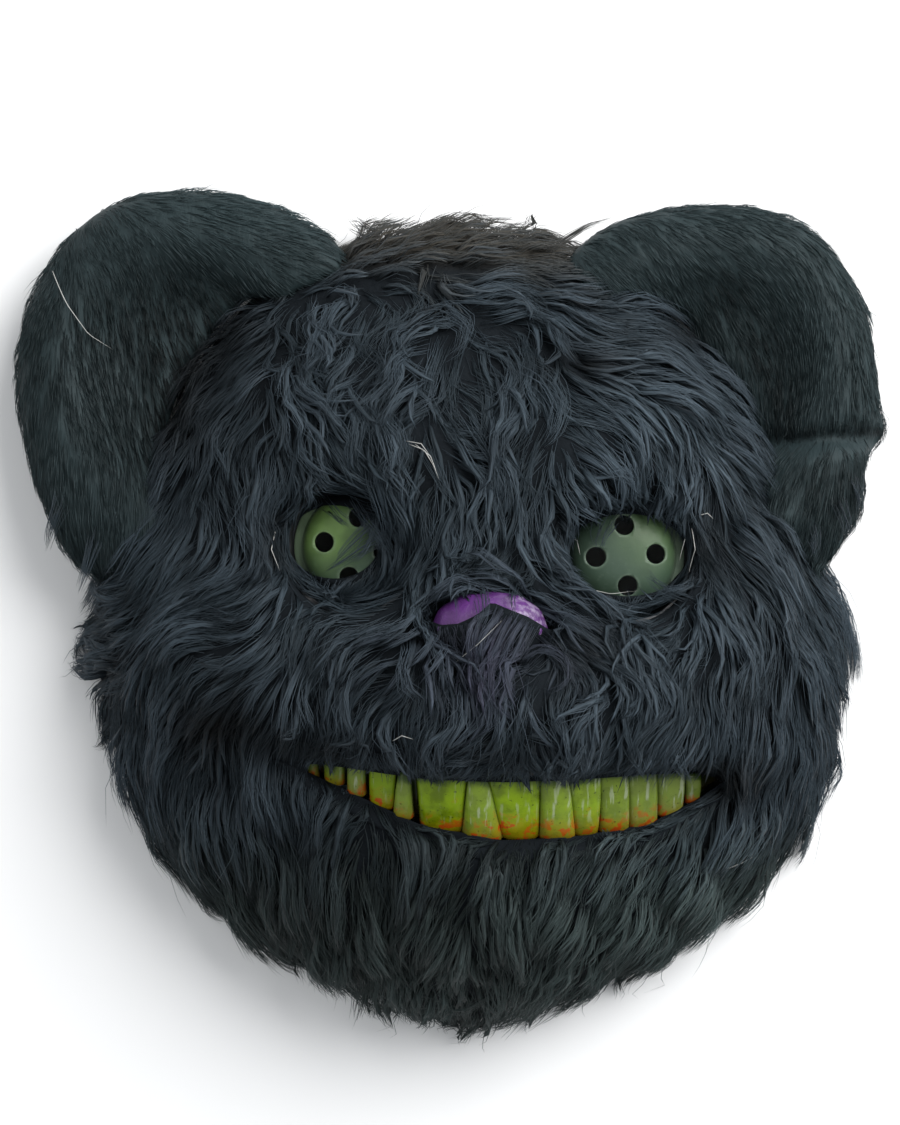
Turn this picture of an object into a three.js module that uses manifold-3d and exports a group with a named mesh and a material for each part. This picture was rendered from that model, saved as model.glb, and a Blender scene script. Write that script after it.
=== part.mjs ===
// Plush bear mask: a thin moulded face shell carries two see-through eye domes, a nose and a
// strip of upper teeth, under a long-pile fur cover with two padded ears and an elastic strap.
// The mask lies face up on its back rim. +X is to the right of the face as one looks at it,
// +Y runs to the crown and +Z comes out of the face. Lengths are in millimetres, angles in
// degrees, and the origin is under the middle of the whole mask, on the surface it lies on.

import * as THREE from "three";
import { mergeVertices } from "three/addons/utils/BufferGeometryUtils.js";
import Module from "manifold-3d";

const wasm = await Module();
wasm.setup();

// Face shell
const FACE_RADIUS = 116;
const DOME_HEIGHT = 70;
const DOME_FULLNESS = 2.3;
const SHELL_WALL = 1.2;
const FIT_GAP = 0.3;
const DOME_RINGS = 9;
const DOME_SPOKES = 38;

// Fur cover. A lock hangs by LOCK_DROOP and hugs the face by LOCK_HUG, both as shares, and a
// lock that has no room is made again shorter.
const PILE_DEPTH = 6;
const PILE_LIFT = 0.5;
const LOCK_LENGTH = 34;
const LOCK_SHORT = 0.65;
const LOCK_WIDTH = 15;
const LOCK_THICKNESS = 7;
const LOCK_ROOT_DEPTH = 1.4;
const LOCK_SPACING = 30;
const LOCK_TIP_RISE = 4;
const LOCK_DROOP = 0.3;
const LOCK_HUG = 0.9;
const COMBING_BLEND = 0.14;

// Width of a lock at its steps from root to tip, as shares of its widest.
const LOCK_SHARES = [0.75, 1, 0.7];

// Eyes
const EYE_SPACING = 89;
const EYE_MIDDLE_X = 6.5;
const EYE_MIDDLE_Y = 29.5;
const EYE_RADIUS = 18;
const EYE_HEIGHT = 11;
const EYE_WALL = 1.2;
const EYE_FLANGE = 3;
const EYE_SEAT_DEPTH = 5.5;
const EYE_SEAT_LEDGE = 4;
const EYE_SIDE_GAP = 1;
const EYE_LEAN = 0.35;
const EYE_SEGMENTS = 14;
const EYE_SHOULDER = 0.6;
const SIGHT_HOLE_RADIUS = 3.3;
const SIGHT_HOLE_CIRCLE = 10;
const SIGHT_HOLE_SEGMENTS = 8;

// Nose
const NOSE_WIDTH = 39;
const NOSE_LENGTH = 27;
const NOSE_RISE = 12;
const NOSE_X = 6;
const NOSE_Y = 4;
const NOSE_TAPER = 0.3;
const NOSE_FUR_GAP = 1;
const NOSE_SEGMENTS = 12;

// Teeth
const TOOTH_RISE = 4.5;
const TEETH_WALL = 1.2;
const TEETH_FLANGE = 5;
const TEETH_END = 0.025;
const TEETH_SIDE_GAP = 0.6;
const TEETH_SET_BACK = 1.1;
const LIP_OVERHANG = 1;

// Ears
const EAR_RADIUS = 60.5;
const EAR_ROLL = 27;
const EAR_LIFT = 25;
const EAR_TILT = 8;
const EAR_SPOKES = 24;
const EAR_LOCK_LENGTH = 18;
const EAR_LOCK_WIDTH = 11;
const EAR_LOCK_THICKNESS = 6.5;

// Head strap
const STRAP_WIDTH = 20;
const STRAP_THICKNESS = 1.2;
const STRAP_HEIGHT_Y = 60;
const STRAP_TURN_UP = 18;
const STRAP_SLACK = 1.5;
const STRAP_BEND = 6;

// Corners of the dome's shoulder, as angles above its foot.
const SHOULDER_ANGLES = [20, 55];

// The two eyes: side of the middle, height above their mean as a share of EYE_SPACING, and
// turn of the sight holes.
const EYES = {
  left: { side: -1, up: 0.017, turn: -9 },
  right: { side: 1, up: -0.017, turn: 3 },
};

// Outline of the shell's rim round the middle of the face: radius as a share of FACE_RADIUS.
const FACE_OUTLINE = [
  { angle: 0, radius: 1.045 },
  { angle: 30, radius: 0.98 },
  { angle: 60, radius: 1.085 },
  { angle: 90, radius: 1.165 },
  { angle: 120, radius: 1.17 },
  { angle: 150, radius: 1.03 },
  { angle: 180, radius: 1.05 },
  { angle: 210, radius: 1.045 },
  { angle: 240, radius: 1.02 },
  { angle: 270, radius: 1.075 },
  { angle: 300, radius: 1.05 },
  { angle: 330, radius: 1.08 },
];

// Swellings and hollows of the face: place and reach as shares of FACE_RADIUS, rise as a share
// of DOME_HEIGHT.
const RELIEF = [
  { part: "muzzle", x: 0.05, y: -0.2, reachX: 0.46, reachY: 0.25, rise: 0.38 },
  { part: "nose bridge", x: 0.05, y: 0.12, reachX: 0.17, reachY: 0.18, rise: 0.08 },
  { part: "left brow", x: -0.36, y: 0.56, reachX: 0.3, reachY: 0.16, rise: 0.18 },
  { part: "right brow", x: 0.46, y: 0.54, reachX: 0.33, reachY: 0.16, rise: 0.2 },
  { part: "forehead", x: 0.03, y: 0.8, reachX: 0.45, reachY: 0.22, rise: 0.08 },
  { part: "left socket", x: -0.36, y: 0.24, reachX: 0.2, reachY: 0.18, rise: -0.12 },
  { part: "right socket", x: 0.45, y: 0.24, reachX: 0.2, reachY: 0.18, rise: -0.12 },
  { part: "left cheek", x: -0.72, y: -0.1, reachX: 0.3, reachY: 0.26, rise: 0.12 },
  { part: "right cheek", x: 0.78, y: -0.14, reachX: 0.27, reachY: 0.26, rise: 0.12 },
  { part: "jaw", x: 0.1, y: -0.8, reachX: 0.48, reachY: 0.16, rise: 0.22 },
  { part: "left mouth corner", x: -0.7, y: -0.32, reachX: 0.14, reachY: 0.1, rise: -0.16 },
  { part: "right mouth corner", x: 0.84, y: -0.42, reachX: 0.12, reachY: 0.1, rise: -0.14 },
];

// Mouth opening from corner to corner, as shares of FACE_RADIUS.
const MOUTH = [
  { x: -0.63, top: -0.31, bottom: -0.31 },
  { x: -0.48, top: -0.33, bottom: -0.365 },
  { x: -0.34, top: -0.345, bottom: -0.43 },
  { x: -0.14, top: -0.37, bottom: -0.525 },
  { x: 0.09, top: -0.38, bottom: -0.57 },
  { x: 0.31, top: -0.375, bottom: -0.56 },
  { x: 0.51, top: -0.365, bottom: -0.535 },
  { x: 0.66, top: -0.365, bottom: -0.475 },
  { x: 0.84, top: -0.41, bottom: -0.41 },
];

// Lines between neighbouring teeth, as shares of the mouth's width at the gum and at the tips.
const TOOTH_LINES = [
  { gum: 0.038, tip: 0.038 },
  { gum: 0.09, tip: 0.09 },
  { gum: 0.143, tip: 0.143 },
  { gum: 0.19, tip: 0.19 },
  { gum: 0.231, tip: 0.233 },
  { gum: 0.284, tip: 0.28 },
  { gum: 0.328, tip: 0.328 },
  { gum: 0.411, tip: 0.407 },
  { gum: 0.455, tip: 0.493 },
  { gum: 0.565, tip: 0.56 },
  { gum: 0.618, tip: 0.631 },
  { gum: 0.68, tip: 0.68 },
  { gum: 0.733, tip: 0.733 },
  { gum: 0.79, tip: 0.786 },
  { gum: 0.845, tip: 0.845 },
  { gum: 0.89, tip: 0.89 },
];

// Rows of the tooth strip from its upper flange to its lower one: down is a share of the
// mouth's height, flange a share of TEETH_FLANGE, rise a share of TOOTH_RISE.
const TOOTH_ROWS = [
  { down: 0, flange: 1, rise: 0 },
  { down: 0.02, flange: 0, rise: 0.2 },
  { down: 0.35, flange: 0, rise: 0.85 },
  { down: 0.95, flange: 0, rise: 1 },
  { down: 0.98, flange: 0, rise: 0 },
  { down: 1, flange: -1, rise: 0 },
];

// Which way the pile is combed: place as shares of FACE_RADIUS, angle from +X towards +Y.
const COMBING = [
  { x: 0.0, y: 1.05, angle: 70 },
  { x: -0.55, y: 0.75, angle: 240 },
  { x: -0.75, y: 0.45, angle: 255 },
  { x: -0.3, y: 0.6, angle: 265 },
  { x: 0.05, y: 0.8, angle: 250 },
  { x: 0.1, y: 0.45, angle: 268 },
  { x: 0.45, y: 0.78, angle: 340 },
  { x: 0.75, y: 0.6, angle: 330 },
  { x: 0.55, y: 0.44, angle: 300 },
  { x: 0.85, y: 0.35, angle: 285 },
  { x: 0.12, y: 0.2, angle: 265 },
  { x: 1.0, y: 0.0, angle: 275 },
  { x: 0.75, y: 0.05, angle: 268 },
  { x: 0.6, y: -0.25, angle: 228 },
  { x: 0.9, y: -0.45, angle: 262 },
  { x: 0.3, y: -0.2, angle: 238 },
  { x: 0.05, y: -0.3, angle: 262 },
  { x: -0.2, y: -0.15, angle: 245 },
  { x: -0.5, y: 0.0, angle: 205 },
  { x: -0.9, y: 0.0, angle: 190 },
  { x: -0.7, y: -0.2, angle: 235 },
  { x: -0.95, y: -0.4, angle: 265 },
  { x: -0.6, y: -0.65, angle: 280 },
  { x: -0.3, y: -0.95, angle: 278 },
  { x: 0.0, y: -0.75, angle: 252 },
  { x: 0.45, y: -0.7, angle: 238 },
  { x: 0.25, y: -1.0, angle: 225 },
];

// Section of a padded ear from its dished middle to its edge: out is a share of the ear's
// radius, front and back are shares of EAR_ROLL.
const EAR_SECTION = [
  { out: 0, front: -0.12, back: -0.46 },
  { out: 0.28, front: -0.1, back: -0.47 },
  { out: 0.46, front: 0.08, back: -0.5 },
  { out: 0.6, front: 0.36, back: -0.5 },
  { out: 0.76, front: 0.5, back: -0.48 },
  { out: 0.9, front: 0.38, back: -0.38 },
  { out: 0.97, front: 0.2, back: -0.2 },
  { out: 1, front: 0, back: 0 },
];

// The two ears: middle as shares of FACE_RADIUS, outline every 30 degrees as shares of
// EAR_RADIUS, the angles at the edge that carry loose locks, and folds that run between two
// shares of EAR_RADIUS with their width and depth as shares of EAR_ROLL.
const EARS = {
  left: {
    x: -0.845,
    y: 0.81,
    outline: [1.1, 1.17, 1.08, 1.035, 1.04, 0.99, 0.98, 1.06, 1.26, 1.24, 1.1, 1.0],
    lockAngles: [200, 215, 228, 238, 246],
    folds: [],
  },
  right: {
    x: 0.707,
    y: 0.784,
    outline: [0.99, 1.01, 1.045, 0.985, 1.05, 1.09, 1.0, 1.0, 1.1, 1.18, 1.24, 1.11],
    lockAngles: [294, 302, 312, 324, 338],
    folds: [{ angle: -22, from: 0.42, to: 1.2, width: 0.33, depth: 0.33 }],
  },
};

const degrees = Math.PI / 180;

// Smooth closed or open interpolation through a table's rows.
function catmull(before, start, end, after, share) {
  const square = share * share;
  const cube = square * share;
  return (
    0.5 *
    (2 * start +
      (end - before) * share +
      (2 * before - 5 * start + 4 * end - after) * square +
      (3 * start - before - 3 * end + after) * cube)
  );
}

function roundTable(values, angle) {
  const place = (((angle / 360) % 1) + 1) * values.length;
  const row = Math.floor(place);
  const at = (index) => values[(index + values.length) % values.length];
  return catmull(at(row - 1), at(row), at(row + 1), at(row + 2), place - row);
}

function rowsBetween(rows, key, value, column) {
  const next = Math.max(1, rows.findIndex((row) => row[key] >= value));
  const end = value > rows.at(-1)[key] ? rows.length - 1 : next;
  const [low, high] = [rows[end - 1], rows[end]];
  const share = THREE.MathUtils.clamp((value - low[key]) / (high[key] - low[key]), 0, 1);
  return low[column] + (high[column] - low[column]) * share;
}

const outlineShares = FACE_OUTLINE.map((row) => row.radius);

function faceRadius(angle) {
  return FACE_RADIUS * roundTable(outlineShares, angle);
}

function reliefAt(x, y) {
  const [faceX, faceY] = [x / FACE_RADIUS, y / FACE_RADIUS];
  return RELIEF.reduce((height, bump) => {
    const across = (faceX - bump.x) / bump.reachX;
    const along = (faceY - bump.y) / bump.reachY;
    return height + DOME_HEIGHT * bump.rise * Math.exp(-across * across - along * along);
  }, 0);
}

// A point of the shell's outer face: tilt is 0 in the middle and 1 on the rim.
function facePoint(tilt, angle) {
  const slope = Math.min(tilt, 1) * 90 * degrees;
  const out = Math.sin(slope) ** (2 / DOME_FULLNESS);
  const up = Math.max(Math.cos(slope), 0) ** (2 / DOME_FULLNESS);
  const radius = faceRadius(angle) * out;
  const x = radius * Math.cos(angle * degrees);
  const y = radius * Math.sin(angle * degrees);
  return new THREE.Vector3(x, y, DOME_HEIGHT * up + reliefAt(x, y) * (1 - out ** 4));
}

function faceNormal(tilt, angle) {
  const stepTilt = 0.02;
  const stepAngle = 2;
  const from = THREE.MathUtils.clamp(tilt, 2 * stepTilt, 1 - stepTilt);
  const outwards = facePoint(from + stepTilt, angle).sub(facePoint(from - stepTilt, angle));
  const round = facePoint(from, angle + stepAngle).sub(facePoint(from, angle - stepAngle));
  const normal = outwards.cross(round).normalize();
  if (tilt >= 1) normal.setZ(0).normalize();
  return normal;
}

function faceSurface(tilt, angle, offset) {
  return facePoint(tilt, angle).addScaledVector(faceNormal(tilt, angle), offset);
}

// Tilt and angle of the face over a place in plan.
function facePlace(x, y) {
  const angle = Math.atan2(y, x) / degrees;
  const share = Math.hypot(x, y) / faceRadius(angle);
  const slope = Math.asin(Math.min(share, 1) ** (DOME_FULLNESS / 2));
  return { share, tilt: slope / (90 * degrees), angle };
}

function faceOver(x, y, offset) {
  const place = facePlace(x, y);
  return faceSurface(place.tilt, place.angle, offset);
}

// A solid from a closed geometry, without the faces whose corners fall together.
function solidOf(geometry) {
  const bare = geometry.index ? geometry.toNonIndexed() : geometry.clone();
  bare.deleteAttribute("normal");
  bare.deleteAttribute("uv");
  const merged = mergeVertices(bare, 1e-4);
  const index = merged.index.array;
  const kept = [];
  for (let i = 0; i < index.length; i += 3) {
    const [a, b, c] = index.slice(i, i + 3);
    if (a !== b && b !== c && a !== c) kept.push(a, b, c);
  }
  const mesh = new wasm.Mesh({
    numProp: 3,
    vertProperties: merged.attributes.position.array,
    triVerts: new Uint32Array(kept),
  });
  return new wasm.Manifold(mesh);
}

function geometryOf(solid) {
  const mesh = solid.getMesh();
  const geometry = new THREE.BufferGeometry();
  geometry.setAttribute("position", new THREE.BufferAttribute(mesh.vertProperties, 3));
  geometry.setIndex(new THREE.BufferAttribute(mesh.triVerts, 1));
  geometry.computeVertexNormals();
  return geometry;
}

function geometryFromPoints(points, faces) {
  const geometry = new THREE.BufferGeometry().setFromPoints(points);
  geometry.setIndex(faces);
  return geometry;
}

// Vertices and faces of a disc of rings round a middle point. Ring 0 is that point.
class RingedDisc {
  constructor(points, faces, rings, spokes, pointAt, facesUp) {
    this.spokes = spokes;
    this.rings = [];
    for (let ring = 0; ring <= rings; ring += 1) {
      const count = ring === 0 ? 1 : spokes;
      const indices = [];
      for (let spoke = 0; spoke < count; spoke += 1) {
        indices.push(points.length);
        points.push(pointAt(ring, (360 * spoke) / spokes));
      }
      this.rings.push(indices);
    }
    const add = (a, b, c) => (facesUp ? faces.push(a, b, c) : faces.push(a, c, b));
    for (let spoke = 0; spoke < spokes; spoke += 1) {
      const next = (spoke + 1) % spokes;
      add(this.rings[0][0], this.rings[1][spoke], this.rings[1][next]);
      for (let ring = 1; ring < rings; ring += 1) {
        const [near, far] = [this.rings[ring], this.rings[ring + 1]];
        add(near[spoke], far[spoke], far[next]);
        add(near[spoke], far[next], near[next]);
      }
    }
  }

  get edge() {
    return this.rings.at(-1);
  }
}

function joinEdges(faces, upper, lower) {
  upper.forEach((corner, spoke) => {
    const next = (spoke + 1) % upper.length;
    faces.push(corner, lower[spoke], lower[next], corner, lower[next], upper[next]);
  });
}

// The face between two offsets of the shell's outer surface, cut off level at floor.
function faceWall(outerOffset, innerOffset, floor) {
  const points = [];
  const faces = [];
  const at = (offset) => (ring, angle) => {
    const point = faceSurface(ring / DOME_RINGS, angle, offset);
    return point.setZ(Math.max(point.z, floor));
  };
  const outer = new RingedDisc(points, faces, DOME_RINGS, DOME_SPOKES, at(outerOffset), true);
  const inner = new RingedDisc(points, faces, DOME_RINGS, DOME_SPOKES, at(innerOffset), false);
  joinEdges(faces, outer.edge, inner.edge);
  return solidOf(geometryFromPoints(points, faces));
}

// Everything under an offset of the shell's outer surface, down to a depth below the rim.
function faceSolid(offset, depth) {
  const points = [];
  const faces = [];
  const top = (ring, angle) => faceSurface(ring / DOME_RINGS, angle, offset);
  const bottom = (ring, angle) => top(ring, angle).setZ(-depth);
  const upper = new RingedDisc(points, faces, DOME_RINGS, DOME_SPOKES, top, true);
  const lower = new RingedDisc(points, faces, DOME_RINGS, DOME_SPOKES, bottom, false);
  joinEdges(faces, upper.edge, lower.edge);
  return solidOf(geometryFromPoints(points, faces));
}

// Mouth outline in plan, from corner to corner and back, grown all round.
function mouthShape(grow) {
  const top = [];
  const bottom = [];
  MOUTH.forEach((row, index) => {
    const end = index === 0 ? -grow : index === MOUTH.length - 1 ? grow : 0;
    top.push(new THREE.Vector2(row.x * FACE_RADIUS + end, row.top * FACE_RADIUS + grow));
    bottom.push(new THREE.Vector2(row.x * FACE_RADIUS + end, row.bottom * FACE_RADIUS - grow));
  });
  return new THREE.Shape([...bottom, ...top.reverse()]);
}

function mouthPrism(grow) {
  const height = 2 * DOME_HEIGHT + 2 * PILE_DEPTH;
  return solidOf(
    new THREE.ExtrudeGeometry(mouthShape(grow), { depth: height, bevelEnabled: false }),
  );
}

// Eye seats: the place and the axis that everything round one eye shares.
function eyeSeat(eye) {
  const x = EYE_MIDDLE_X + (eye.side * EYE_SPACING) / 2;
  const place = facePlace(x, EYE_MIDDLE_Y + eye.up * EYE_SPACING);
  const normal = faceNormal(place.tilt, place.angle);
  const axis = new THREE.Vector3(normal.x * EYE_LEAN, normal.y * EYE_LEAN, 1).normalize();
  const frame = new THREE.Matrix4().makeRotationFromQuaternion(
    new THREE.Quaternion().setFromUnitVectors(new THREE.Vector3(0, 0, 1), axis),
  );
  const seat = facePoint(place.tilt, place.angle).addScaledVector(axis, -EYE_SEAT_DEPTH);
  return frame.setPosition(seat);
}

function turned(profile, segments, frame) {
  const points = profile.map(([radius, height]) => new THREE.Vector2(radius, height));
  const geometry = new THREE.LatheGeometry(points, segments);
  return solidOf(geometry.rotateX(Math.PI / 2).applyMatrix4(frame));
}

function cylinder(radius, low, high, segments, frame) {
  const geometry = new THREE.CylinderGeometry(radius, radius, high - low, segments);
  geometry.rotateX(Math.PI / 2).translate(0, 0, (low + high) / 2);
  return solidOf(geometry.applyMatrix4(frame));
}

// Half height of the plain shapes that cut right through the dome.
const cutReach = DOME_HEIGHT;
const flangeRadius = EYE_RADIUS + EYE_FLANGE;
const cupInside = flangeRadius + EYE_SIDE_GAP;
const cupOutside = cupInside + SHELL_WALL;
const seatEdge = flangeRadius - EYE_SEAT_LEDGE;

function eyeDome(frame, turn) {
  const arc = (radius, height, base) =>
    SHOULDER_ANGLES.map((angle) => [
      radius * Math.cos(angle * degrees) ** EYE_SHOULDER,
      base + (height - base) * Math.sin(angle * degrees),
    ]);
  const outside = arc(EYE_RADIUS, EYE_HEIGHT, EYE_WALL);
  const inside = arc(EYE_RADIUS - EYE_WALL, EYE_HEIGHT - EYE_WALL, 0);
  const profile = [
    [0, EYE_HEIGHT - EYE_WALL],
    ...inside.reverse(),
    [EYE_RADIUS - EYE_WALL, 0],
    [flangeRadius, 0],
    [flangeRadius, EYE_WALL],
    [EYE_RADIUS, EYE_WALL],
    ...outside,
    [0, EYE_HEIGHT],
  ];
  const lifted = frame.clone().multiply(new THREE.Matrix4().makeTranslation(0, 0, FIT_GAP));
  let dome = turned(profile, EYE_SEGMENTS, lifted);
  for (let hole = 0; hole < 4; hole += 1) {
    const angle = (hole * 90 + turn) * degrees;
    const place = new THREE.Matrix4().makeTranslation(
      SIGHT_HOLE_CIRCLE * Math.cos(angle),
      SIGHT_HOLE_CIRCLE * Math.sin(angle),
      0,
    );
    const across = cylinder(
      SIGHT_HOLE_RADIUS,
      -EYE_HEIGHT,
      2 * EYE_HEIGHT,
      SIGHT_HOLE_SEGMENTS,
      lifted.clone().multiply(place),
    );
    dome = dome.subtract(across);
  }
  return dome;
}

// The shell's wall, with a round cup behind each eye whose floor is the ledge of its dome.
function faceShell(eyes) {
  let hollow = faceSolid(-SHELL_WALL, SHELL_WALL);
  const openings = [mouthPrism(LIP_OVERHANG)];
  for (const frame of eyes) {
    hollow = hollow.subtract(cylinder(cupOutside, -SHELL_WALL, cutReach, EYE_SEGMENTS, frame));
    openings.push(cylinder(cupInside, 0, cutReach, EYE_SEGMENTS, frame));
    openings.push(cylinder(seatEdge, -cutReach / 2, cutReach, EYE_SEGMENTS, frame));
  }
  const shell = faceSolid(0, 0).subtract(hollow);
  return openings.reduce((rest, opening) => rest.subtract(opening), shell);
}

// The nose's rounded wedge, wide above and narrow below, sunk through the shell's surface.
function noseBody(grow) {
  const geometry = new THREE.SphereGeometry(1, NOSE_SEGMENTS, NOSE_SEGMENTS / 2);
  const position = geometry.attributes.position;
  for (let i = 0; i < position.count; i += 1) {
    const taper = 1 - NOSE_TAPER * Math.max(0, -position.getY(i));
    position.setX(i, position.getX(i) * taper);
  }
  geometry.scale(NOSE_WIDTH / 2 + grow, NOSE_LENGTH / 2 + grow, NOSE_RISE + grow);
  const base = faceOver(NOSE_X, NOSE_Y, 0);
  return solidOf(geometry.translate(base.x, base.y, base.z));
}

function noseOnShell() {
  return noseBody(0).subtract(faceSolid(FIT_GAP, SHELL_WALL));
}

// The tooth strip follows the inside of the shell, and its teeth come forward into the mouth.
function toothStrip() {
  const left = MOUTH[0].x * FACE_RADIUS;
  const width = MOUTH.at(-1).x * FACE_RADIUS - left;
  const [first, last] = [TOOTH_LINES[0].gum - TEETH_END, TOOTH_LINES.at(-1).gum + TEETH_END];
  const columns = [{ gum: first, tip: first, bulge: 0 }];
  TOOTH_LINES.forEach((line, index) => {
    columns.push({ ...line, bulge: 0 });
    const next = TOOTH_LINES[index + 1];
    if (!next) return;
    for (const share of [0.25, 0.75]) {
      const between = (key) => line[key] + (next[key] - line[key]) * share;
      columns.push({ gum: between("gum"), tip: between("tip"), bulge: 1 });
    }
  });
  columns.push({ gum: last, tip: last, bulge: 0 });

  const points = [];
  const faces = [];
  const depth = SHELL_WALL + FIT_GAP + TEETH_SET_BACK;
  const layer = (behind) =>
    columns.map((column) =>
      TOOTH_ROWS.map((row) => {
        const across = column.gum + (column.tip - column.gum) * row.down;
        const x = left + width * across;
        const top = rowsBetween(MOUTH, "x", x / FACE_RADIUS, "top") * FACE_RADIUS;
        const bottom = rowsBetween(MOUTH, "x", x / FACE_RADIUS, "bottom") * FACE_RADIUS;
        const y = top + (bottom - top) * row.down + TEETH_FLANGE * row.flange;
        const forward = TOOTH_RISE * row.rise * column.bulge;
        points.push(faceOver(x, y, forward - depth - behind));
        return points.length - 1;
      }),
    );
  const front = layer(0);
  const back = layer(TEETH_WALL);
  const quad = (a, b, c, d) => faces.push(a, b, c, a, c, d);
  const [lastColumn, lastRow] = [columns.length - 1, TOOTH_ROWS.length - 1];
  for (let i = 0; i < lastColumn; i += 1) {
    for (let j = 0; j < lastRow; j += 1) {
      quad(front[i][j + 1], front[i + 1][j + 1], front[i + 1][j], front[i][j]);
      quad(back[i][j], back[i + 1][j], back[i + 1][j + 1], back[i][j + 1]);
    }
    quad(front[i][0], front[i + 1][0], back[i + 1][0], back[i][0]);
    quad(back[i][lastRow], back[i + 1][lastRow], front[i + 1][lastRow], front[i][lastRow]);
  }
  for (let j = 0; j < lastRow; j += 1) {
    quad(front[0][j + 1], front[0][j], back[0][j], back[0][j + 1]);
    quad(
      back[lastColumn][j + 1],
      back[lastColumn][j],
      front[lastColumn][j],
      front[lastColumn][j + 1],
    );
  }
  const strip = solidOf(geometryFromPoints(points, faces));
  const behindShell = faceSolid(-SHELL_WALL - FIT_GAP, 0);
  const inMouth = mouthPrism(LIP_OVERHANG - TEETH_SIDE_GAP);
  return strip.intersect(behindShell.add(inMouth));
}

// Direction of the pile in plan at a place on the face.
function combedAt(x, y) {
  const direction = new THREE.Vector2();
  for (const row of COMBING) {
    const square = (x / FACE_RADIUS - row.x) ** 2 + (y / FACE_RADIUS - row.y) ** 2;
    const weight = 1 / (square + COMBING_BLEND ** 2) ** 2;
    direction.x += weight * Math.cos(row.angle * degrees);
    direction.y += weight * Math.sin(row.angle * degrees);
  }
  return direction.normalize();
}

// A lock of pile: a ridged taper through the given middle points and normals.
function lockAlong(middles, normals, width, thickness) {
  const points = [];
  const faces = [];
  LOCK_SHARES.forEach((share, i) => {
    const along = middles[i + 1].clone().sub(middles[i]);
    const side = along.cross(normals[i]).normalize();
    const low = middles[i].clone().addScaledVector(normals[i], (-share * thickness) / 2);
    points.push(
      low.clone().addScaledVector(side, (share * width) / 2),
      middles[i].clone().addScaledVector(normals[i], (share * thickness) / 2),
      low.clone().addScaledVector(side, (-share * width) / 2),
    );
  });
  points.push(middles.at(-1).clone());
  for (const point of points) point.setZ(Math.max(point.z, PILE_LIFT));
  const tip = points.length - 1;
  for (let corner = 0; corner < 3; corner += 1) {
    const next = (corner + 1) % 3;
    for (let a = 0; a < tip - 3; a += 3) {
      faces.push(a + corner, a + 3 + next, a + next, a + corner, a + 3 + corner, a + 3 + next);
    }
    faces.push(tip - 3 + corner, tip, tip - 3 + next);
  }
  faces.push(0, 1, 2);
  return solidOf(geometryFromPoints(points, faces));
}

// A lock that lies on the face from a place in plan, bending with the surface.
function faceLock(place, length) {
  const steps = LOCK_SHARES.length;
  const root = FIT_GAP + PILE_DEPTH - LOCK_ROOT_DEPTH;
  let { tilt, angle } = place;
  let point = faceSurface(tilt, angle, root);
  const middles = [point.clone()];
  const normals = [faceNormal(tilt, angle)];
  for (let step = 1; step <= steps; step += 1) {
    const combed = combedAt(point.x, point.y);
    const normal = faceNormal(tilt, angle);
    const way = new THREE.Vector3(combed.x, combed.y, -LOCK_DROOP);
    way.addScaledVector(normal, -LOCK_HUG * way.dot(normal)).normalize();
    const next = point.clone().addScaledVector(way, length / steps);
    const under = facePlace(next.x, next.y);
    if (under.share < 1) {
      ({ tilt, angle } = under);
      const rise = (LOCK_TIP_RISE * step) / steps;
      next.copy(faceSurface(tilt, angle, root + rise));
    }
    middles.push(next.clone());
    normals.push(normal);
    point = next;
  }
  return lockAlong(middles, normals, LOCK_WIDTH, LOCK_THICKNESS);
}

// Places for the locks in rings round the face, staggered from ring to ring.
function lockPlaces() {
  const places = [];
  const rings = Math.round((FACE_RADIUS + DOME_HEIGHT) / LOCK_SPACING) - 1;
  for (let ring = 1; ring <= rings; ring += 1) {
    const tilt = (ring - 0.5) / rings;
    const round = 2 * Math.PI * FACE_RADIUS * Math.sin(tilt * 90 * degrees);
    const count = Math.max(4, Math.round(round / LOCK_SPACING));
    for (let i = 0; i < count; i += 1) {
      places.push({ tilt, angle: (360 * (i + (ring % 2) / 2)) / count });
    }
  }
  return places;
}

function touches(solid, others) {
  return others.some((other) => solid.intersect(other).volume() > 0);
}

function furCover(eyes, earGuards) {
  const openings = [
    ...eyes.map((frame) => cylinder(cupInside, -cutReach / 2, cutReach, EYE_SEGMENTS, frame)),
    noseBody(NOSE_FUR_GAP),
    mouthPrism(LIP_OVERHANG),
  ];
  let fur = faceWall(FIT_GAP + PILE_DEPTH, FIT_GAP, PILE_LIFT);
  for (const opening of openings) fur = fur.subtract(opening);
  for (const place of lockPlaces()) {
    const sizes = [LOCK_LENGTH, LOCK_LENGTH * LOCK_SHORT];
    const locks = sizes.map((length) => faceLock(place, length));
    const clear = locks.find((lock) => !touches(lock, [...openings, ...earGuards]));
    if (clear) fur = fur.add(clear);
  }
  return fur.subtract(faceSolid(FIT_GAP, SHELL_WALL));
}

// The frame of an ear: its middle, tipped so that it is highest where it meets the face.
function earFrame(ear) {
  const away = Math.atan2(ear.y, ear.x);
  const hinge = new THREE.Vector3(-Math.sin(away), Math.cos(away), 0);
  const tip = new THREE.Matrix4().makeRotationAxis(hinge, EAR_TILT * degrees);
  return tip.setPosition(ear.x * FACE_RADIUS, ear.y * FACE_RADIUS, EAR_LIFT);
}

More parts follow.
